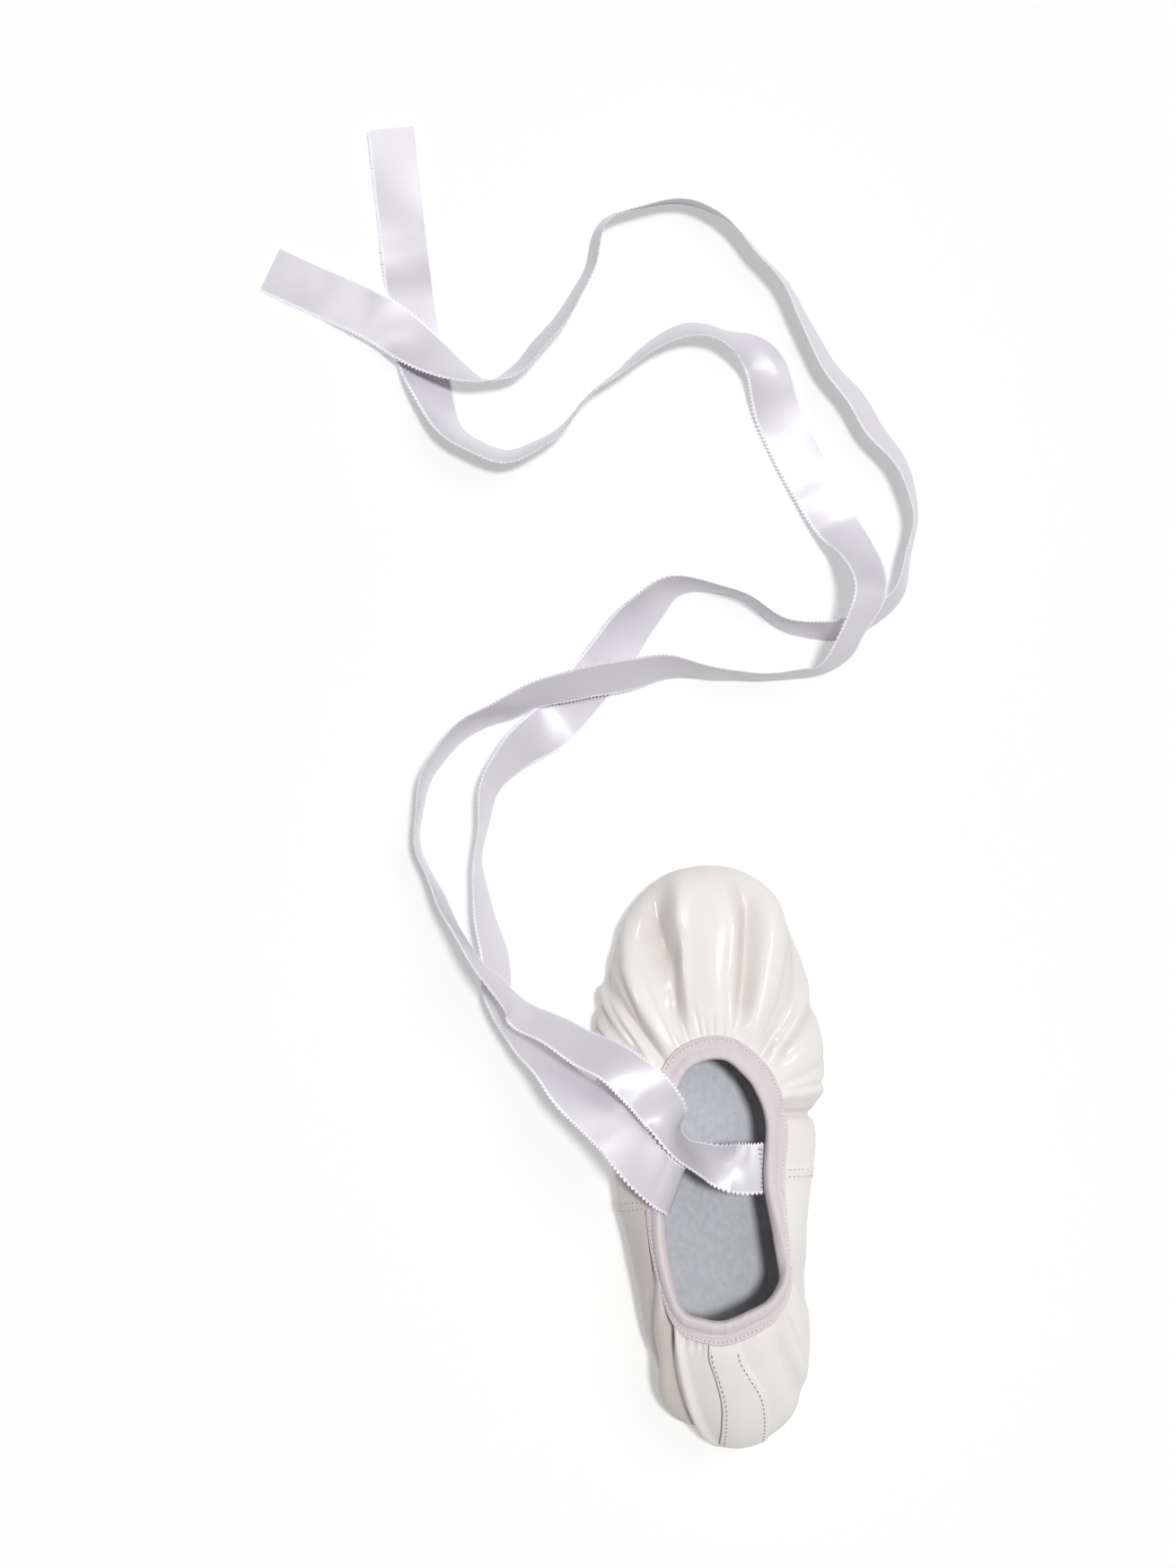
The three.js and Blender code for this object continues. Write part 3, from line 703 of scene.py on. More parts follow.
    def fine_depth(self, turn, down):
        """Depth of fine creases, puckers, seams, soft unevenness and the pleats under the edge."""
        depth = self.crease_depth(turn, down)
        depth += self.fold_sum(self.gathers, turn, down, self.SHORT_FADE, self.GATHER_TAIL)
        depth += self.fold_sum(PLEATS, turn, down, self.SHORT_FADE, self.PLEAT_TAIL)
        for collar_ray, outline_ray, half_width, height in SIDE_SEAMS:
            away = ray_gap(turn, collar_ray + (outline_ray - collar_ray) * np.minimum(down, 1))
            seam_end = ease(self.SEAM_END, self.SEAM_END + self.SEAM_TAIL, down)
            depth -= height * np.exp(-(away / half_width) ** 4) * (1 - seam_end)
        phase = 2 * np.pi * turn / len(RAYS) * self.SWELL_ROUNDS
        for rounds, waves, height in self.SWELLS:
            swell = np.sin(rounds * phase + waves) * np.sin(waves * down + 2 * rounds)
            depth += height * shown_between(down, *self.SWELL_SPAN) * swell
        pleat = np.abs(np.sin(np.pi * turn / self.EDGE_PLEAT_PITCH)) - self.EDGE_PLEAT_BASE
        pleat = self.EDGE_PLEAT_DEPTH * pleat * shown_between(down, *self.EDGE_PLEAT_SPAN)
        for middle, half_width, share in self.EDGE_PLEAT_ZONES:
            depth += share * np.exp(-(ray_gap(turn, middle) / half_width) ** 4) * pleat
        return depth

    def outer(self, turn, down):
        """Outer face with all its folds."""
        depth = self.fine_depth(turn, down)
        return self.folded(turn, down) - self.outward(self.smooth, turn, down) * depth[..., None]

    def off(self, turn, down, height, surface=None):
        """A place at a height off the outer face."""
        surface = surface or self.folded
        return surface(turn, down) + self.outward(surface, turn, down) * np.asarray(height)[..., None]

    def down_at(self, turn, lengths):
        """Place down each ray at lengths from the collar edge."""
        places = np.linspace(0, self.RULER_END, self.RULER_STEPS)
        points = self.folded(*np.meshgrid(turn, places, indexing="ij"))
        wanted = np.broadcast_to(lengths, (len(turn), np.shape(lengths)[-1]))
        lines = zip(wanted, points)
        return np.array([np.interp(length, travel_along(line), places) for length, line in lines])

    def flap(self, turn):
        """Length of the collar binding's outer flap."""
        return self.ends(turn)[0][..., FLAP]

    def margin_loop(self, reach):
        """The line round a plate that reaches outside the margin line."""
        ray, _, outline, inward = self.ends(np.linspace(0, len(RAYS), self.LOOP_STEPS))
        return outline + inward * (ray[:, TUCK] - reach)[:, None]

    def margin_edges(self, loop, along):
        """Left and right edges of a plate within its loop."""
        heel = int(np.argmin(loop[:, 1]))
        toe = int(np.argmax(loop[:, 1]))
        loop = np.roll(loop[:-1], -heel, axis=0)
        toe = (toe - heel) % len(loop)
        right = loop[:toe + 1]
        left = np.vstack([loop[toe:], loop[:1]])[::-1]
        return np.interp(along, left[:, 1], left[:, 0]), np.interp(along, right[:, 1], right[:, 0])


def grid_faces(rows, columns, closed_rows=False):
    """Faces of a grid of points whose columns close on themselves, as its rows may."""
    row_end = rows if closed_rows else rows - 1
    row, column = np.meshgrid(np.arange(row_end), np.arange(columns), indexing="ij")
    next_row = (row + 1) % rows
    next_column = (column + 1) % columns
    corners = [row * columns + column, next_row * columns + column,
               next_row * columns + next_column, row * columns + next_column]
    return np.stack([corner.ravel() for corner in corners], axis=1)


def tube_faces(rows, columns):
    """Faces of a tube of sections with a cap at each end."""
    faces = grid_faces(rows, columns).tolist()
    faces.append(list(range(columns))[::-1])
    faces.append(list(range((rows - 1) * columns, rows * columns)))
    return faces


def shifted(faces, offset):
    """Faces for points that start at an offset."""
    return [[corner + offset for corner in face] for face in faces]


def outward_faces(points, faces):
    """The faces turned so that the closed form they bound has a volume above zero."""
    first = points[faces[:, 0]]
    volume = 0.0
    for step in range(1, faces.shape[1] - 1):
        normal = np.cross(points[faces[:, step]], points[faces[:, step + 1]])
        volume += np.einsum("ij,ij->i", first, normal).sum()
    return faces[:, ::-1] if volume < 0 else faces


def make_piece(name, points, faces, finish, slot, replaced=(), strip_places=None, attribute=None):
    """A smooth mesh piece in millimetres that rides on the shoe."""
    mesh = bpy.data.meshes.new(name)
    mesh.from_pydata((np.asarray(points) * MM).tolist(), [], [list(face) for face in faces])
    mesh.polygons.foreach_set("use_smooth", [True] * len(mesh.polygons))
    if strip_places is not None:
        corner = np.zeros(len(mesh.loops), dtype=np.int32)
        mesh.loops.foreach_get("vertex_index", corner)
        places = np.asarray(strip_places)[corner] * MM
        mesh.uv_layers.new(name="strip").data.foreach_set("uv", places.astype(np.float32).ravel())
    if attribute is not None:
        label, values = attribute
        layer = mesh.attributes.new(label, "FLOAT", "POINT")
        layer.data.foreach_set("value", np.asarray(values, dtype=np.float32))
    mesh.materials.append(finish_named(finish))
    mesh.validate()
    mesh.set_sharp_from_angle(angle=SHARP_ANGLE)
    mesh.update()
    piece = bpy.data.objects.new(name, mesh)
    bpy.context.scene.collection.objects.link(piece)
    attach(piece, BODY)
    if replaced:
        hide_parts(*replaced)
    return piece


def make_grid(name, points, closed_rows, finish, slot, **extras):
    """A piece from a grid of points, its faces turned outward."""
    flat = points.reshape(-1, 3)
    faces = outward_faces(flat, grid_faces(*points.shape[:2], closed_rows))
    return make_piece(name, flat, faces, finish, slot, **extras)


def make_tube(name, sections, finish, slot, **extras):
    """A piece from a row of sections, capped at both ends."""
    faces = tube_faces(*sections.shape[:2])
    return make_piece(name, sections.reshape(-1, 3), faces, finish, slot, **extras)


def walk(points, pitch, phase):
    """Evenly spaced places along a line of points, as fractional indices."""
    travel = travel_along(points)
    count = max(int(travel[-1] / pitch), 1)
    return np.interp((np.arange(count) + phase) * travel[-1] / count, travel, np.arange(len(points)))


def stitch_forms(points, normals, pitch, phase, radius, share, slant):
    """Rounded grains laid along a line on a surface, as points and faces."""
    places = walk(points, pitch, phase)
    index = np.arange(len(points))

    def read(values, at):
        return np.stack([np.interp(at, index, values[:, axis]) for axis in range(3)], axis=1)

    centre = read(points, places)
    along = unit(read(points, places + 0.5) - read(points, places - 0.5))
    up = unit(read(normals, places))
    along = unit(along + unit(np.cross(up, along)) * slant)
    side = unit(np.cross(up, along))
    angle = np.linspace(0, np.pi, GRAIN_RINGS)
    turn = np.linspace(0, 2 * np.pi, GRAIN_SIDES, endpoint=False)
    ahead = -np.cos(angle) * pitch * share / 2
    swell = np.maximum(np.sin(angle), GRAIN_TIP) ** GRAIN_ROUND * radius
    sink = (1 - np.sin(angle)) * -radius * GRAIN_SINK
    grains = (centre[:, None, None, :] + along[:, None, None, :] * ahead[None, :, None, None]
              + side[:, None, None, :] * (swell[:, None] * np.cos(turn))[None, :, :, None]
              + up[:, None, None, :] * (swell[:, None] * np.sin(turn) + sink[:, None])[None, :, :, None])
    grain_faces = tube_faces(GRAIN_RINGS, GRAIN_SIDES)
    faces = []
    for grain in range(len(centre)):
        faces.extend(shifted(grain_faces, grain * GRAIN_RINGS * GRAIN_SIDES))
    return grains.reshape(-1, 3), faces


def make_grains(name, rows, finish, pitch, phase, radius, share, slant):
    """One piece from several rows of grains."""
    points = []
    faces = []
    for line, normals in rows:
        row_points, row_faces = stitch_forms(line, normals, pitch, phase, radius, share, slant)
        faces.extend(shifted(row_faces, len(points)))
        points.extend(row_points.tolist())
    return make_piece(name, points, faces, finish, "cloth")


def make_stitches(name, rows):
    """Rows of stitches, each stitch between two needle holes coloured dark as painted shade."""
    pitch_share, thread_radius, thread_share, hole_radius, hole_share = STITCH_STYLES[name]
    pitch = bpy.context.scene.ballet_sizes.stitch_pitch / MM * pitch_share
    make_grains(name, rows, "sewing_thread", pitch, THREAD_PHASE, thread_radius, thread_share, THREAD_SLANT)
    # Painted shade: dark grains sunk at the stitch ends, where the hollow of each hole lies.
    sunk = [(line - normals * HOLE_SINK, normals) for line, normals in rows]
    make_grains(name + "_hole_shade", sunk, "needle_hole_shade", pitch, HOLE_PHASE, hole_radius, hole_share, 0.0)


def knot_gap(start, end):
    """Spacing of two points of a centripetal curve."""
    return np.maximum(np.linalg.norm(end - start, axis=1, keepdims=True) ** 0.5, LEAST_KNOT)


def spline_points(table, share):
    """Points of a centripetal curve through a table, at shares of its span."""
    last = len(table) - 1
    place = share * last
    base = np.clip(np.floor(place).astype(int), 0, last - 1)
    weight = (place - base)[:, None]
    padded = np.vstack([2 * table[0] - table[1], table, 2 * table[-1] - table[-2]])
    before, start, end, after = (padded[base + step] for step in range(4))
    gap_0 = knot_gap(before, start)
    gap_1 = knot_gap(start, end)
    gap_2 = knot_gap(end, after)
    slope_0 = ((start - before) / gap_0 - (end - before) / (gap_0 + gap_1) + (end - start) / gap_1) * gap_1
    slope_1 = ((end - start) / gap_1 - (after - start) / (gap_1 + gap_2) + (after - end) / gap_2) * gap_1
    bend = -3 * start + 3 * end - 2 * slope_0 - slope_1
    twist = 2 * start - 2 * end + slope_0 + slope_1
    return start + slope_0 * weight + bend * weight ** 2 + twist * weight ** 3


class RibbonForm:
    """A flat ribbon along its table: middle line, width direction and face direction."""
    FLOOR_GAP = 0.02
    LEAST_SQUARE = 0.75

    def __init__(self, table, steps, fold=None):
        sizes = bpy.context.scene.ballet_sizes
        self.width = sizes.ribbon_width / MM
        self.thick = sizes.ribbon_thick / MM
        share = np.linspace(0, 1, steps)
        last = len(table) - 1
        base = np.clip(np.floor(share * last).astype(int), 0, last - 1)
        rolls = (table[np.clip(base + step, 0, last), ROLL] for step in NEIGHBOURS)
        roll = np.radians(cubic(*rolls, share * last - base))
        middle = spline_points(table[:, :ROLL], share)
        middle[:, 2] = np.maximum(middle[:, 2], self.FLOOR_GAP)
        middle[:, 2] += (self.width * np.abs(np.sin(roll)) + self.thick * np.abs(np.cos(roll))) / 2
        heading = unit(np.gradient(middle, axis=0))
        across = unit(np.cross(np.array([0.0, 0.0, 1.0]), heading))
        for step in range(steps - 2, -1, -1):
            if across[step] @ across[step + 1] < 0:
                across[step] = -across[step]
        rise = unit(np.cross(heading, across))
        rise = np.where(rise[:, 2:] < 0, -rise, rise)
        self.middle = middle
        self.travel = travel_along(middle)
        self.wide = across * np.cos(roll)[:, None] + rise * np.sin(roll)[:, None]
        if fold:
            self.skew(heading, *fold)
        self.face = unit(np.cross(heading, self.wide))

    def skew(self, heading, line, begin, end):
        """Slants the first cross lines along a fold, easing back to square."""
        line = np.array(line) * np.sign(np.array(line) @ self.wide[np.searchsorted(self.travel, end)])
        share = ease(begin, end, self.travel)[:, None]
        wide = unit(line * (1 - share) + self.wide * share)
        square = wide - heading * (wide * heading).sum(axis=1, keepdims=True)
        reach = np.maximum(np.linalg.norm(square, axis=1, keepdims=True), self.LEAST_SQUARE)
        self.wide = wide / reach

    def length(self):
        """Length of the middle line."""
        return self.travel[-1]


class BALLET_OT_stage(bpy.types.Operator):
    """Pale floor, soft studio light and the camera above the shoe"""
    bl_idname = "ballet.stage"
    bl_label = "Stage"
    FLOOR_HALF = 40.0
    FLOOR_LEVEL = -0.0003
    CAMERA_PLACE = (-0.0446, 0.1555)
    CAMERA_ROLL = -2.56
    FRAME_HEIGHT = 0.6511
    LAMPS = (
        ("key_lamp", (0.16, 0.1, 1.0), 7.0, 2.4, True, False),
        ("top_lamp", (0.5, 0.5, 1.0), 40.0, 0.6, True, False),
        ("right_glint_lamp", (0.4, 0.26, 1.0), 18.0, 1.1, False, True),
        ("left_glint_lamp", (-0.36, 0.4, 1.0), 12.0, 0.28, False, True),
        ("low_left_glint_lamp", (-0.95, 0.3, 1.0), 5.0, 0.75, False, True),
        ("low_right_glint_lamp", (0.95, 0.6, 1.0), 6.0, 0.9, False, True),
        ("toe_glint_lamp", (-0.15, 1.1, 1.0), 4.0, 0.4, False, True),
    )
    WORLD_LEVEL = 0.09
    WORLD_COLOUR = (1.0, 0.95, 0.89, 1.0)

    def execute(self, context):
        half = self.FLOOR_HALF
        mesh = bpy.data.meshes.new("floor")
        plan = ((-half, -half), (half, -half), (half, half), (-half, half))
        mesh.from_pydata([(across, along, self.FLOOR_LEVEL) for across, along in plan], [], [(0, 1, 2, 3)])
        mesh.materials.append(finish_named("pale_floor"))
        floor = bpy.data.objects.new("floor", mesh)
        context.scene.collection.objects.link(floor)
        self.add_lamps(context)
        self.add_camera(context)
        context.scene.view_settings.view_transform = "Standard"
        return {"FINISHED"}

    def add_lamps(self, context):
        """Studio lamps: each has its direction, spread and strength, and lights or glints."""
        for name, toward, spread, strength, lights, glints in self.LAMPS:
            lamp = bpy.data.lights.new(name, "SUN")
            lamp.angle = math.radians(spread)
            lamp.energy = strength
            item = bpy.data.objects.new(name, lamp)
            item.location = toward
            item.visible_diffuse = lights
            item.visible_glossy = glints
            ray = -unit(np.array(toward))
            item.rotation_euler = (math.acos(-ray[2]), 0.0, math.atan2(-ray[0], ray[1]))
            context.scene.collection.objects.link(item)
        world = bpy.data.worlds.new("studio")
        world.use_nodes = True
        sky = world.node_tree.nodes["Background"]
        sky.inputs["Color"].default_value = self.WORLD_COLOUR
        sky.inputs["Strength"].default_value = self.WORLD_LEVEL
        context.scene.world = world

    def add_camera(self, context):
        """Camera straight above, rolled as the photographed shoe lies."""
        height = context.scene.ballet_sizes.camera_height
        lens = bpy.data.cameras.new("camera")
        lens.sensor_fit = "VERTICAL"
        lens.angle_y = 2 * math.atan(self.FRAME_HEIGHT / 2 / height)
        camera = bpy.data.objects.new("camera", lens)
        camera.location = (self.CAMERA_PLACE[0], self.CAMERA_PLACE[1], height)
        camera.rotation_euler = (0.0, 0.0, math.radians(self.CAMERA_ROLL))
        context.scene.collection.objects.link(camera)
        context.scene.camera = camera


class BALLET_OT_ribbons(bpy.types.Operator):
    """The satin ribbons with their looped edges"""
    bl_idname = "ballet.ribbons"
    bl_label = "Ribbons"
    STEPS = 860
    ROUTE_STEPS = 240
    LANES = 9
    CUP = 0.3
    CUP_WAVES = ((11.0, 1.0, 0.0), (6.3, 0.6, 1.0))
    PICOT_STEPS = 5200
    PICOT_PITCH = 1.6
    PICOT_REACH = 1.1
    PICOT_INSET = 0.35
    PICOT_OVERLAP = 0.05
    PICOT_THICK = 0.8
    PICOT_TIP = 0.5
    PICOT_SIDES = 4
    RIPPLES = ((47.0, 0.75, 0.4), (29.0, 0.4, 1.9), (83.0, 0.9, 2.6))
    RIPPLE_START = 15.0
    FLOOR_GAP = 0.03
    OUTER_FOLD = ((0.386, 0.922, 0.0), 17.0, 46.0)
    END_STITCH_PLACE = 4.6
    END_STITCH_PITCH = 1.9
    END_STITCH_SLANT = 3.0
    END_STITCH_SPAN = 0.92
    END_STITCH_POINTS = 40
    END_STITCH_RADIUS = 0.24
    END_STITCH_SHARE = 1.2

    def execute(self, context):
        self.add_ribbon("ribbon_inner", RIBBON_INNER, None)
        self.add_ribbon("ribbon_outer", RIBBON_OUTER, self.OUTER_FOLD)
        self.add_end_stitches()
        return {"FINISHED"}

    def add_ribbon(self, name, table, fold):
        """One ribbon: a thin band and a row of small loops along each edge."""
        form = RibbonForm(table, self.STEPS, fold)
        self.ripple(form)
        points, places = self.band(form)
        faces = tube_faces(*points.shape[:2])
        points = points.reshape(-1, 3)
        places = places.reshape(-1, 2)
        band_count = len(points)
        fine = RibbonForm(table, self.PICOT_STEPS, fold)
        self.ripple(fine)
        for edge in (-1, 1):
            loop_points, loop_places = self.picots(fine, edge)
            faces.extend(shifted(grid_faces(self.PICOT_STEPS, self.PICOT_SIDES).tolist(), len(points)))
            points = np.vstack([points, loop_points.reshape(-1, 3)])
            places = np.vstack([places, loop_places.reshape(-1, 2)])
        points[:, 2] = np.maximum(points[:, 2], self.FLOOR_GAP)
        loops = (np.arange(len(points)) >= band_count).astype(float)
        piece = make_piece(name + "_satin", points, faces, "pale_satin", "satin", (name,),
                           strip_places=places, attribute=("picot", loops))
        route = [tuple(point * MM) for point in RibbonForm(table, self.ROUTE_STEPS).middle]
        round(form.length() * MM, 3)

    def add_end_stitches(self):
        """Hand stitches across the sewn end of the inner ribbon."""
        form = RibbonForm(RIBBON_INNER, self.STEPS)
        self.ripple(form)
        step = int(np.searchsorted(form.travel, self.END_STITCH_PLACE))
        face = form.face[step] * np.sign(form.face[step, 2])
        side = np.linspace(-self.END_STITCH_SPAN, self.END_STITCH_SPAN, self.END_STITCH_POINTS)
        line = form.middle[step] + form.wide[step] * side[:, None] * form.width / 2 + face * form.thick
        rows = [(line, np.repeat(face[None, :], len(line), axis=0))]
        make_grains("ribbon_end_stitches", rows, "russet_thread", self.END_STITCH_PITCH, THREAD_PHASE,
                    self.END_STITCH_RADIUS, self.END_STITCH_SHARE, self.END_STITCH_SLANT)

    def ripple(self, form):
        """Moves the middle line gently off its route, as slack satin lies, and keeps it above the floor."""
        rounds = 2 * np.pi * form.travel
        drift = sum(height * np.sin(rounds / run + phase) for run, height, phase in self.RIPPLES)
        drift = drift * ease(0, self.RIPPLE_START, form.travel)
        form.middle = form.middle + form.face * drift[:, None]
        low = form.middle[:, 2] - form.width / 2 * np.abs(form.wide[:, 2]) - form.thick / 2
        form.middle[:, 2] += np.maximum(self.FLOOR_GAP - low, 0)

    def band(self, form):
        """Points of the band's two faces, slightly cupped and uneven along its length."""
        side = np.linspace(-1, 1, self.LANES)
        wave = sum(height * np.sin(form.travel / run + phase) for run, height, phase in self.CUP_WAVES)
        bow = self.CUP * (1 - side[None, :] ** 2) * wave[:, None]
        aside = side * form.width / 2
        flat = form.middle[:, None, :] + form.wide[:, None, :] * aside[None, :, None]
        flat = flat + form.face[:, None, :] * bow[..., None]
        lift = form.face[:, None, :] * form.thick / 2
        places = np.stack(np.broadcast_arrays(aside[None, :], form.travel[:, None]), axis=-1)
        points = np.concatenate([flat + lift, (flat - lift)[:, ::-1]], axis=1)
        return points, np.concatenate([places, places[:, ::-1]], axis=1)

    def picots(self, form, edge):
        """A thin scalloped strip just outside one edge."""
        loop = np.abs(np.sin(np.pi * form.travel / self.PICOT_PITCH))
        reach = form.width / 2 + self.PICOT_REACH * loop - self.PICOT_OVERLAP
        inner = form.middle + form.wide * edge * (form.width / 2 - self.PICOT_INSET)
        outer = form.middle + form.wide * edge * reach[:, None]
        lift = form.face * form.thick * self.PICOT_THICK
        tip = lift * self.PICOT_TIP
        points = np.stack([inner + lift, outer + tip, outer - tip, inner - lift], axis=1)
        places = np.stack([np.full_like(form.travel, edge * form.width / 2), form.travel], axis=1)
        return points, np.repeat(places[:, None, :], self.PICOT_SIDES, axis=1)


class BALLET_OT_upper(bpy.types.Operator):
    """The gathered leather upper"""
    bl_idname = "ballet.upper"
    bl_label = "Upper"
    STEPS_PER_RAY = 28
    OUTER_LEVELS = (84, 25, (2.5, 3.0))
    INNER_LEVELS = (20, 8, (3.0,))
    # Shares of painted shade: per millimetre of main fold and of finer crease, the most allowed, and a
    # fixed share on the inner face.
    FOLD_PAINTED_SHADE = 0.12
    CREASE_PAINTED_SHADE = 0.14
    MOST_PAINTED_SHADE = 0.8
    INNER_PAINTED_SHADE = 0.3
    WALL_SHADE_RUN = 0.4

    def execute(self, context):
        form = UpperForm()
        turn = np.arange(len(RAYS) * self.STEPS_PER_RAY) / self.STEPS_PER_RAY
        grid_turn, grid_down = np.meshgrid(turn, self.levels(*self.OUTER_LEVELS), indexing="ij")
        outer = form.outer(grid_turn, grid_down)
        # Painted shade: each point's share of the darker fold colour, from the main folds, the finer
        # creases, the walls and a fixed share on the inner face.
        crease = form.fold_sum(FOLDS, grid_turn, grid_down) * self.FOLD_PAINTED_SHADE
        crease += np.maximum(form.crease_depth(grid_turn, grid_down), 0) * self.CREASE_PAINTED_SHADE
        # Painted shade on the walls, mostly on the left wall away from the key lamp.
        crease += form.fold_sum(PAINTED_WALL_SHADE, grid_turn, grid_down, self.WALL_SHADE_RUN)
        inner_turn, inner_down = np.meshgrid(turn, self.levels(*self.INNER_LEVELS)[::-1], indexing="ij")
        inner_depth = form.wall + np.maximum(form.fine_depth(inner_turn, inner_down), 0)
        inner = form.off(inner_turn, inner_down, -inner_depth)
        inner_painted_shade = np.full(inner_turn.shape, self.INNER_PAINTED_SHADE)
        painted_shade_share = np.concatenate([np.clip(crease, 0, self.MOST_PAINTED_SHADE), inner_painted_shade], axis=1)
        make_grid("upper_leather", np.concatenate([outer, inner], axis=1), True, "cream_leather", "leather",
                  replaced=("upper",), attribute=("crease", painted_shade_share.ravel()))
        return {"FINISHED"}

    def levels(self, over, under, margin):
        """Places down a ray: over the top, under to the margin line, and along the margin."""
        return np.concatenate([np.linspace(0, 1, over, endpoint=False), np.linspace(1, 2, under), margin])


class BALLET_OT_binding(bpy.types.Operator):
    """The folded cloth binding round the collar, with its stitches"""
    bl_idname = "ballet.binding"
    bl_label = "Collar binding"
    STEPS_PER_RAY = 26
    SECTION_STEPS = 4
    FULL_FLAP = 9.5
    ROLL_LENGTH = 2.8
    LEAST_DOWN = 0.05
    SLOPE_RUN = 2.0
    FLAP_LEVEL = 0.2
    OUTER_LEVEL = 0.9
    EDGE_LENGTH = 2.6
    # Run, shift, drift and run of the drift of each pucker wave
    PUCKERS = ((3.7, 0.0, 1.7, 17.0), (5.9, 0.8, 0.0, 17.0))
    OUTER_PUCKER = 0.03
    EDGE_PUCKER = 0.025
    WRINKLE = 0.09
    WRINKLE_SPAN = (2.2, 1.2, 6.0, 1.0)
    WRINKLE_TURN = 3.6
    WRINKLE_LEAN_RUN = 5.5
    WRINKLE_DRIFT = 2.2
    WRINKLE_DRIFT_RUN = 14.0
    PATCH_RUNS = (9.0, 23.0)
    PATCH_SHIFT = 1.0
    STITCH_INSET = 1.4
    STITCH_LEVEL = 1.05

    def execute(self, context):
        form = UpperForm()
        turn = np.arange(len(RAYS) * self.STEPS_PER_RAY) / self.STEPS_PER_RAY
        section = self.section()
        lengths = self.lengths(form, turn, section)
        downs = form.down_at(turn, np.maximum(lengths, self.LEAST_DOWN))
        grid_turn = np.repeat(turn[:, None], len(section), axis=1)
        edge = form.folded(turn, np.zeros_like(turn))
        travel = travel_along(edge)
        points = form.off(grid_turn, downs, self.heights(section, lengths, travel))
        slope = unit(form.folded(turn, form.down_at(turn, np.array([self.SLOPE_RUN]))[:, 0]) - edge)
        above = np.minimum(section[:, 0], 0)
        points = points + slope[:, None, :] * above[None, :, None]
        girth = travel_along(section)
        places = np.stack(np.broadcast_arrays(travel[:, None], girth[None, :]), axis=-1)
        make_grid("binding_cloth_edge", points, True, "binding_cloth", "cloth",
                  replaced=("collar_binding",), strip_places=places.reshape(-1, 2))
        self.add_stitches(form, turn)
        return {"FINISHED"}

    def heights(self, section, lengths, travel):
        """The section's heights, puckered along its edges and loosely wrinkled between them."""
        pucker = np.zeros_like(travel)
        for run, shift, drift, drift_run in self.PUCKERS:
            pucker += np.sin(travel * 2 * np.pi / run + shift + drift * np.sin(travel / drift_run))
        outer = section[:, 1] > self.OUTER_LEVEL
        proud = self.OUTER_PUCKER * outer + self.EDGE_PUCKER * (section[:, 0] < self.EDGE_LENGTH)
        shown = shown_between(lengths, *self.WRINKLE_SPAN) * outer
        sway = self.WRINKLE_DRIFT * np.sin(travel / self.WRINKLE_DRIFT_RUN)
        sweep = lengths * self.WRINKLE_TURN + (travel / self.WRINKLE_LEAN_RUN + sway)[:, None]
        first_run, second_run = self.PATCH_RUNS
        patches = np.sin(travel / first_run + self.PATCH_SHIFT) * np.sin(travel / second_run)
        wrinkle = self.WRINKLE * shown * (0.5 + 0.5 * patches)[:, None] * np.sin(sweep)
        return section[None, :, 1] + pucker[:, None] * proud[None, :] + wrinkle

    def lengths(self, form, turn, section):
        """The section's lengths at each turn, its outer flap drawn in to the flap's own length."""
        share = (form.flap(turn) - self.ROLL_LENGTH) / (self.FULL_FLAP - self.ROLL_LENGTH)
        drawn = self.ROLL_LENGTH + (section[:, 0] - self.ROLL_LENGTH) * share[:, None]
        outer = (section[:, 0] > self.ROLL_LENGTH) & (section[:, 1] > self.FLAP_LEVEL)
        return np.where(outer, drawn, section[:, 0])

    def section(self):
        """The section with points added between its corners."""
        count = len(BINDING_SECTION)
        place = np.arange(count * self.SECTION_STEPS) / self.SECTION_STEPS
        base = place.astype(int)
        rows = [BINDING_SECTION[(base + step) % count] for step in NEIGHBOURS]
        return cubic(*rows, (place - base)[:, None])

    def add_stitches(self, form, turn):
        """Stitches along the outer flap."""
        closed = np.append(turn, turn[0] + len(RAYS))
        down = form.down_at(closed, form.flap(closed)[:, None] - self.STITCH_INSET)[:, 0]
        line = form.off(closed, down, self.STITCH_LEVEL)
        make_stitches("binding_stitches", [(line, form.outward(form.folded, closed, down))])


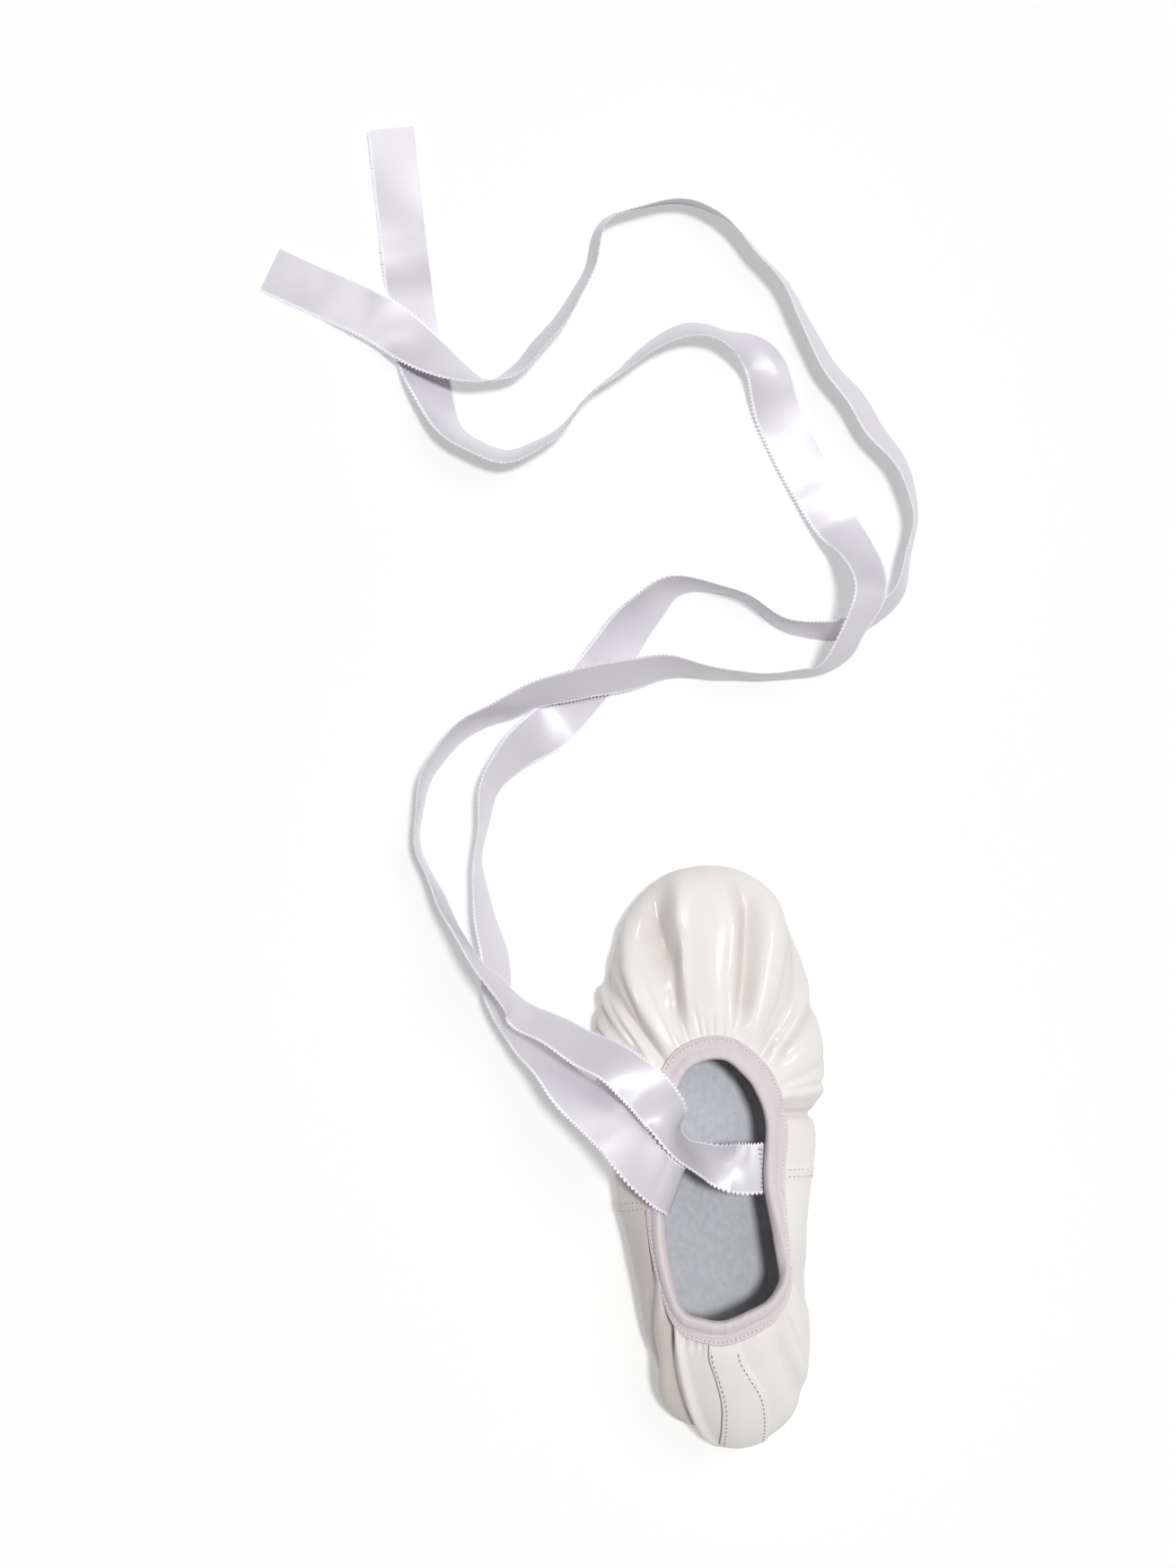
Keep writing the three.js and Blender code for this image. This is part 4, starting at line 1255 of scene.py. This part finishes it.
class BALLET_OT_heel_strip(bpy.types.Operator):
    """The stitched strip down the heel"""
    bl_idname = "ballet.heel_strip"
    bl_label = "Heel strip"
    LEVELS = 70
    LANES = 25
    START = 7.6
    TUCK_RUN = 0.12
    TUCK_SHARE = 0.15
    LOWEST = 1.62
    BED = 0.1
    THICK = 0.95
    SIDE_ROUND = 0.3
    UNDERSIDE = 0.05
    STITCH_SIDE = 0.8
    EDGE_REACH = 0.03
    EDGE_LOW = 0.02
    EDGE_HEIGHT = 0.7

    def execute(self, context):
        form = UpperForm()
        start = form.down_at(np.zeros(1), np.array([self.START]))[0, 0]
        level = np.linspace(start, self.LOWEST, self.LEVELS)
        row = table_at(STRIP, level)
        angle = np.linspace(0, np.pi, self.LANES)
        turn = row[:, 1:2] - np.cos(angle)[None, :] * row[:, 2:3]
        down = np.repeat(level[:, None], self.LANES, axis=1)
        swell = self.TUCK_SHARE + (1 - self.TUCK_SHARE) * ease(start, start + self.TUCK_RUN, level)
        height = self.BED + self.THICK * swell[:, None] * np.sin(angle)[None, :] ** self.SIDE_ROUND
        top = form.off(turn, down, height)
        under = form.off(turn, down, self.UNDERSIDE)[:, 1:-1][:, ::-1]
        sections = np.concatenate([top, under], axis=1)
        make_tube("heel_strip_leather", sections, "cream_leather", "leather", replaced=("heel_strip",),
                  attribute=("crease", np.zeros(sections.size // 3)))
        shown = level > start + self.TUCK_RUN / 2
        rows = []
        for edge in (-1, 1):
            ray = row[:, 1] + edge * self.STITCH_SIDE * row[:, 2]
            line = form.off(ray, level, self.BED + self.THICK)
            rows.append((line[shown], form.outward(form.folded, ray, level)[shown]))
        make_stitches("heel_strip_stitches", rows)
        # Painted shade: a dark cut edge only along the left side, where the strip's shadow falls.
        self.add_raw_edge_and_shade(form, level, row[:, 1] - row[:, 2])
        return {"FINISHED"}

    def add_raw_edge_and_shade(self, form, level, ray):
        """The darker cut edge along the strip's left side, partly painted shade: it stands for the shadow
        on the side away from the key lamp.
        """
        corners = ((0.0, self.EDGE_LOW), (0.0, self.EDGE_HEIGHT),
                   (-self.EDGE_REACH, self.EDGE_HEIGHT / 2), (-self.EDGE_REACH, self.EDGE_LOW))
        lines = [form.off(ray + reach, level, height) for reach, height in corners]
        make_grid("heel_strip_raw_edge_and_shade", np.stack(lines, axis=1), False, "raw_edge_and_shade", "leather")


class BALLET_OT_side_seams(bpy.types.Operator):
    """Stitch rows beside the seams across the sides"""
    bl_idname = "ballet.side_seams"
    bl_label = "Side seams"
    OFFSET = 0.055
    HEIGHT = 0.1
    CLEAR = 0.7
    LOWEST = 1.35
    LEVELS = 80

    def execute(self, context):
        form = UpperForm()
        rows = []
        for collar_ray, outline_ray, _, _ in SIDE_SEAMS:
            begin = np.array([collar_ray])
            start = form.down_at(begin, form.flap(begin) + self.CLEAR)[0, 0]
            level = start + (self.LOWEST - start) * np.linspace(0, 1, self.LEVELS)
            middle = collar_ray + (outline_ray - collar_ray) * np.minimum(level, 1)
            for side in (-1, 1):
                turn = middle + side * self.OFFSET
                line = form.off(turn, level, self.HEIGHT, form.outer)
                rows.append((line, form.outward(form.folded, turn, level)))
        make_stitches("side_seam_stitches", rows)
        return {"FINISHED"}


class BALLET_OT_soles(bpy.types.Operator):
    """The brushed insole and the suede outsole"""
    bl_idname = "ballet.soles"
    bl_label = "Insole and outsole"
    STATIONS = 120
    LANES = 20
    END_INSET = 0.3
    EDGE_ROUND = 0.35
    INSOLE_CROWN = 0.25
    INSOLE_WAVES = 0.12
    WAVE_TURNS = (0.31, 0.17)
    WAVE_SHIFT = 1.0

    def execute(self, context):
        form = UpperForm()
        level = form.sole + form.wall + 2 * GAP
        insole = self.plate(form, INSOLE_REACH, level, form.insole, self.INSOLE_CROWN, self.INSOLE_WAVES)
        make_tube("insole_lining", insole, "brushed_lining", "lining", replaced=("insole",))
        outsole = self.plate(form, SOLE_REACH, 0.0, form.sole, 0.0, 0.0)
        make_tube("outsole_suede", outsole, "sole_suede", "suede", replaced=("outsole",))
        return {"FINISHED"}

    def plate(self, form, reach, bottom, thick, crown, waves):
        """Sections of a thin plate with rounded edges that follows the ground line."""
        loop = form.margin_loop(reach)
        back = loop[:, 1].min() + self.END_INSET
        front = loop[:, 1].max() - self.END_INSET
        along = back + (front - back) * (1 - np.cos(np.linspace(0, np.pi, self.STATIONS))) / 2
        left, right = form.margin_edges(loop, along)
        angle = np.linspace(0, np.pi, self.LANES)
        across = -np.cos(angle)
        rounding = np.sin(angle) ** self.EDGE_ROUND
        place_x = ((left + right) / 2)[:, None] + ((right - left) / 2)[:, None] * across[None, :]
        place_y = np.repeat(along[:, None], self.LANES, axis=1)
        middle = bottom + form.ground(along)[:, None] + thick / 2
        turn_x, turn_y = self.WAVE_TURNS
        wave = np.sin(place_x * turn_x + self.WAVE_SHIFT) * np.sin(place_y * turn_y)
        top = middle + thick / 2 * rounding + crown * (1 - across ** 2) + waves * wave * rounding
        under = middle - thick / 2 * rounding
        over = np.stack([place_x, place_y, top], axis=-1)
        below = np.stack([place_x, place_y, under], axis=-1)[:, 1:-1][:, ::-1]
        return np.concatenate([over, below], axis=1)


class BALLET_PT_panel(bpy.types.Panel):
    """Lists the pieces of the ballet flat"""
    bl_idname = "BALLET_PT_panel"
    bl_label = "Ballet Flat"
    bl_space_type = "VIEW_3D"
    bl_region_type = "UI"
    bl_category = "Ballet Flat"

    def draw(self, context):
        for operator in OPERATORS:
            self.layout.operator(operator.bl_idname)


OPERATORS = (
    BALLET_OT_stage,
    BALLET_OT_ribbons,
    BALLET_OT_upper,
    BALLET_OT_binding,
    BALLET_OT_heel_strip,
    BALLET_OT_side_seams,
    BALLET_OT_soles,
)
CLASSES = (BalletSizes, BalletColours) + OPERATORS + (BALLET_PT_panel,)


def register():
    """Adds the classes and their settings."""
    for item in CLASSES:
        bpy.utils.register_class(item)
    bpy.types.Scene.ballet_sizes = PointerProperty(type=BalletSizes)
    bpy.types.Scene.ballet_colours = PointerProperty(type=BalletColours)


def unregister():
    """Takes the classes and their settings away."""
    del bpy.types.Scene.ballet_colours
    del bpy.types.Scene.ballet_sizes
    for item in reversed(CLASSES):
        bpy.utils.unregister_class(item)


def main():
    """Makes the stage and the pieces in order."""
    register()
    bpy.ops.ballet.stage()
    bpy.ops.ballet.ribbons()
    bpy.ops.ballet.upper()
    bpy.ops.ballet.binding()
    bpy.ops.ballet.heel_strip()
    bpy.ops.ballet.side_seams()
    bpy.ops.ballet.soles()


if __name__ == "__main__":
    main()
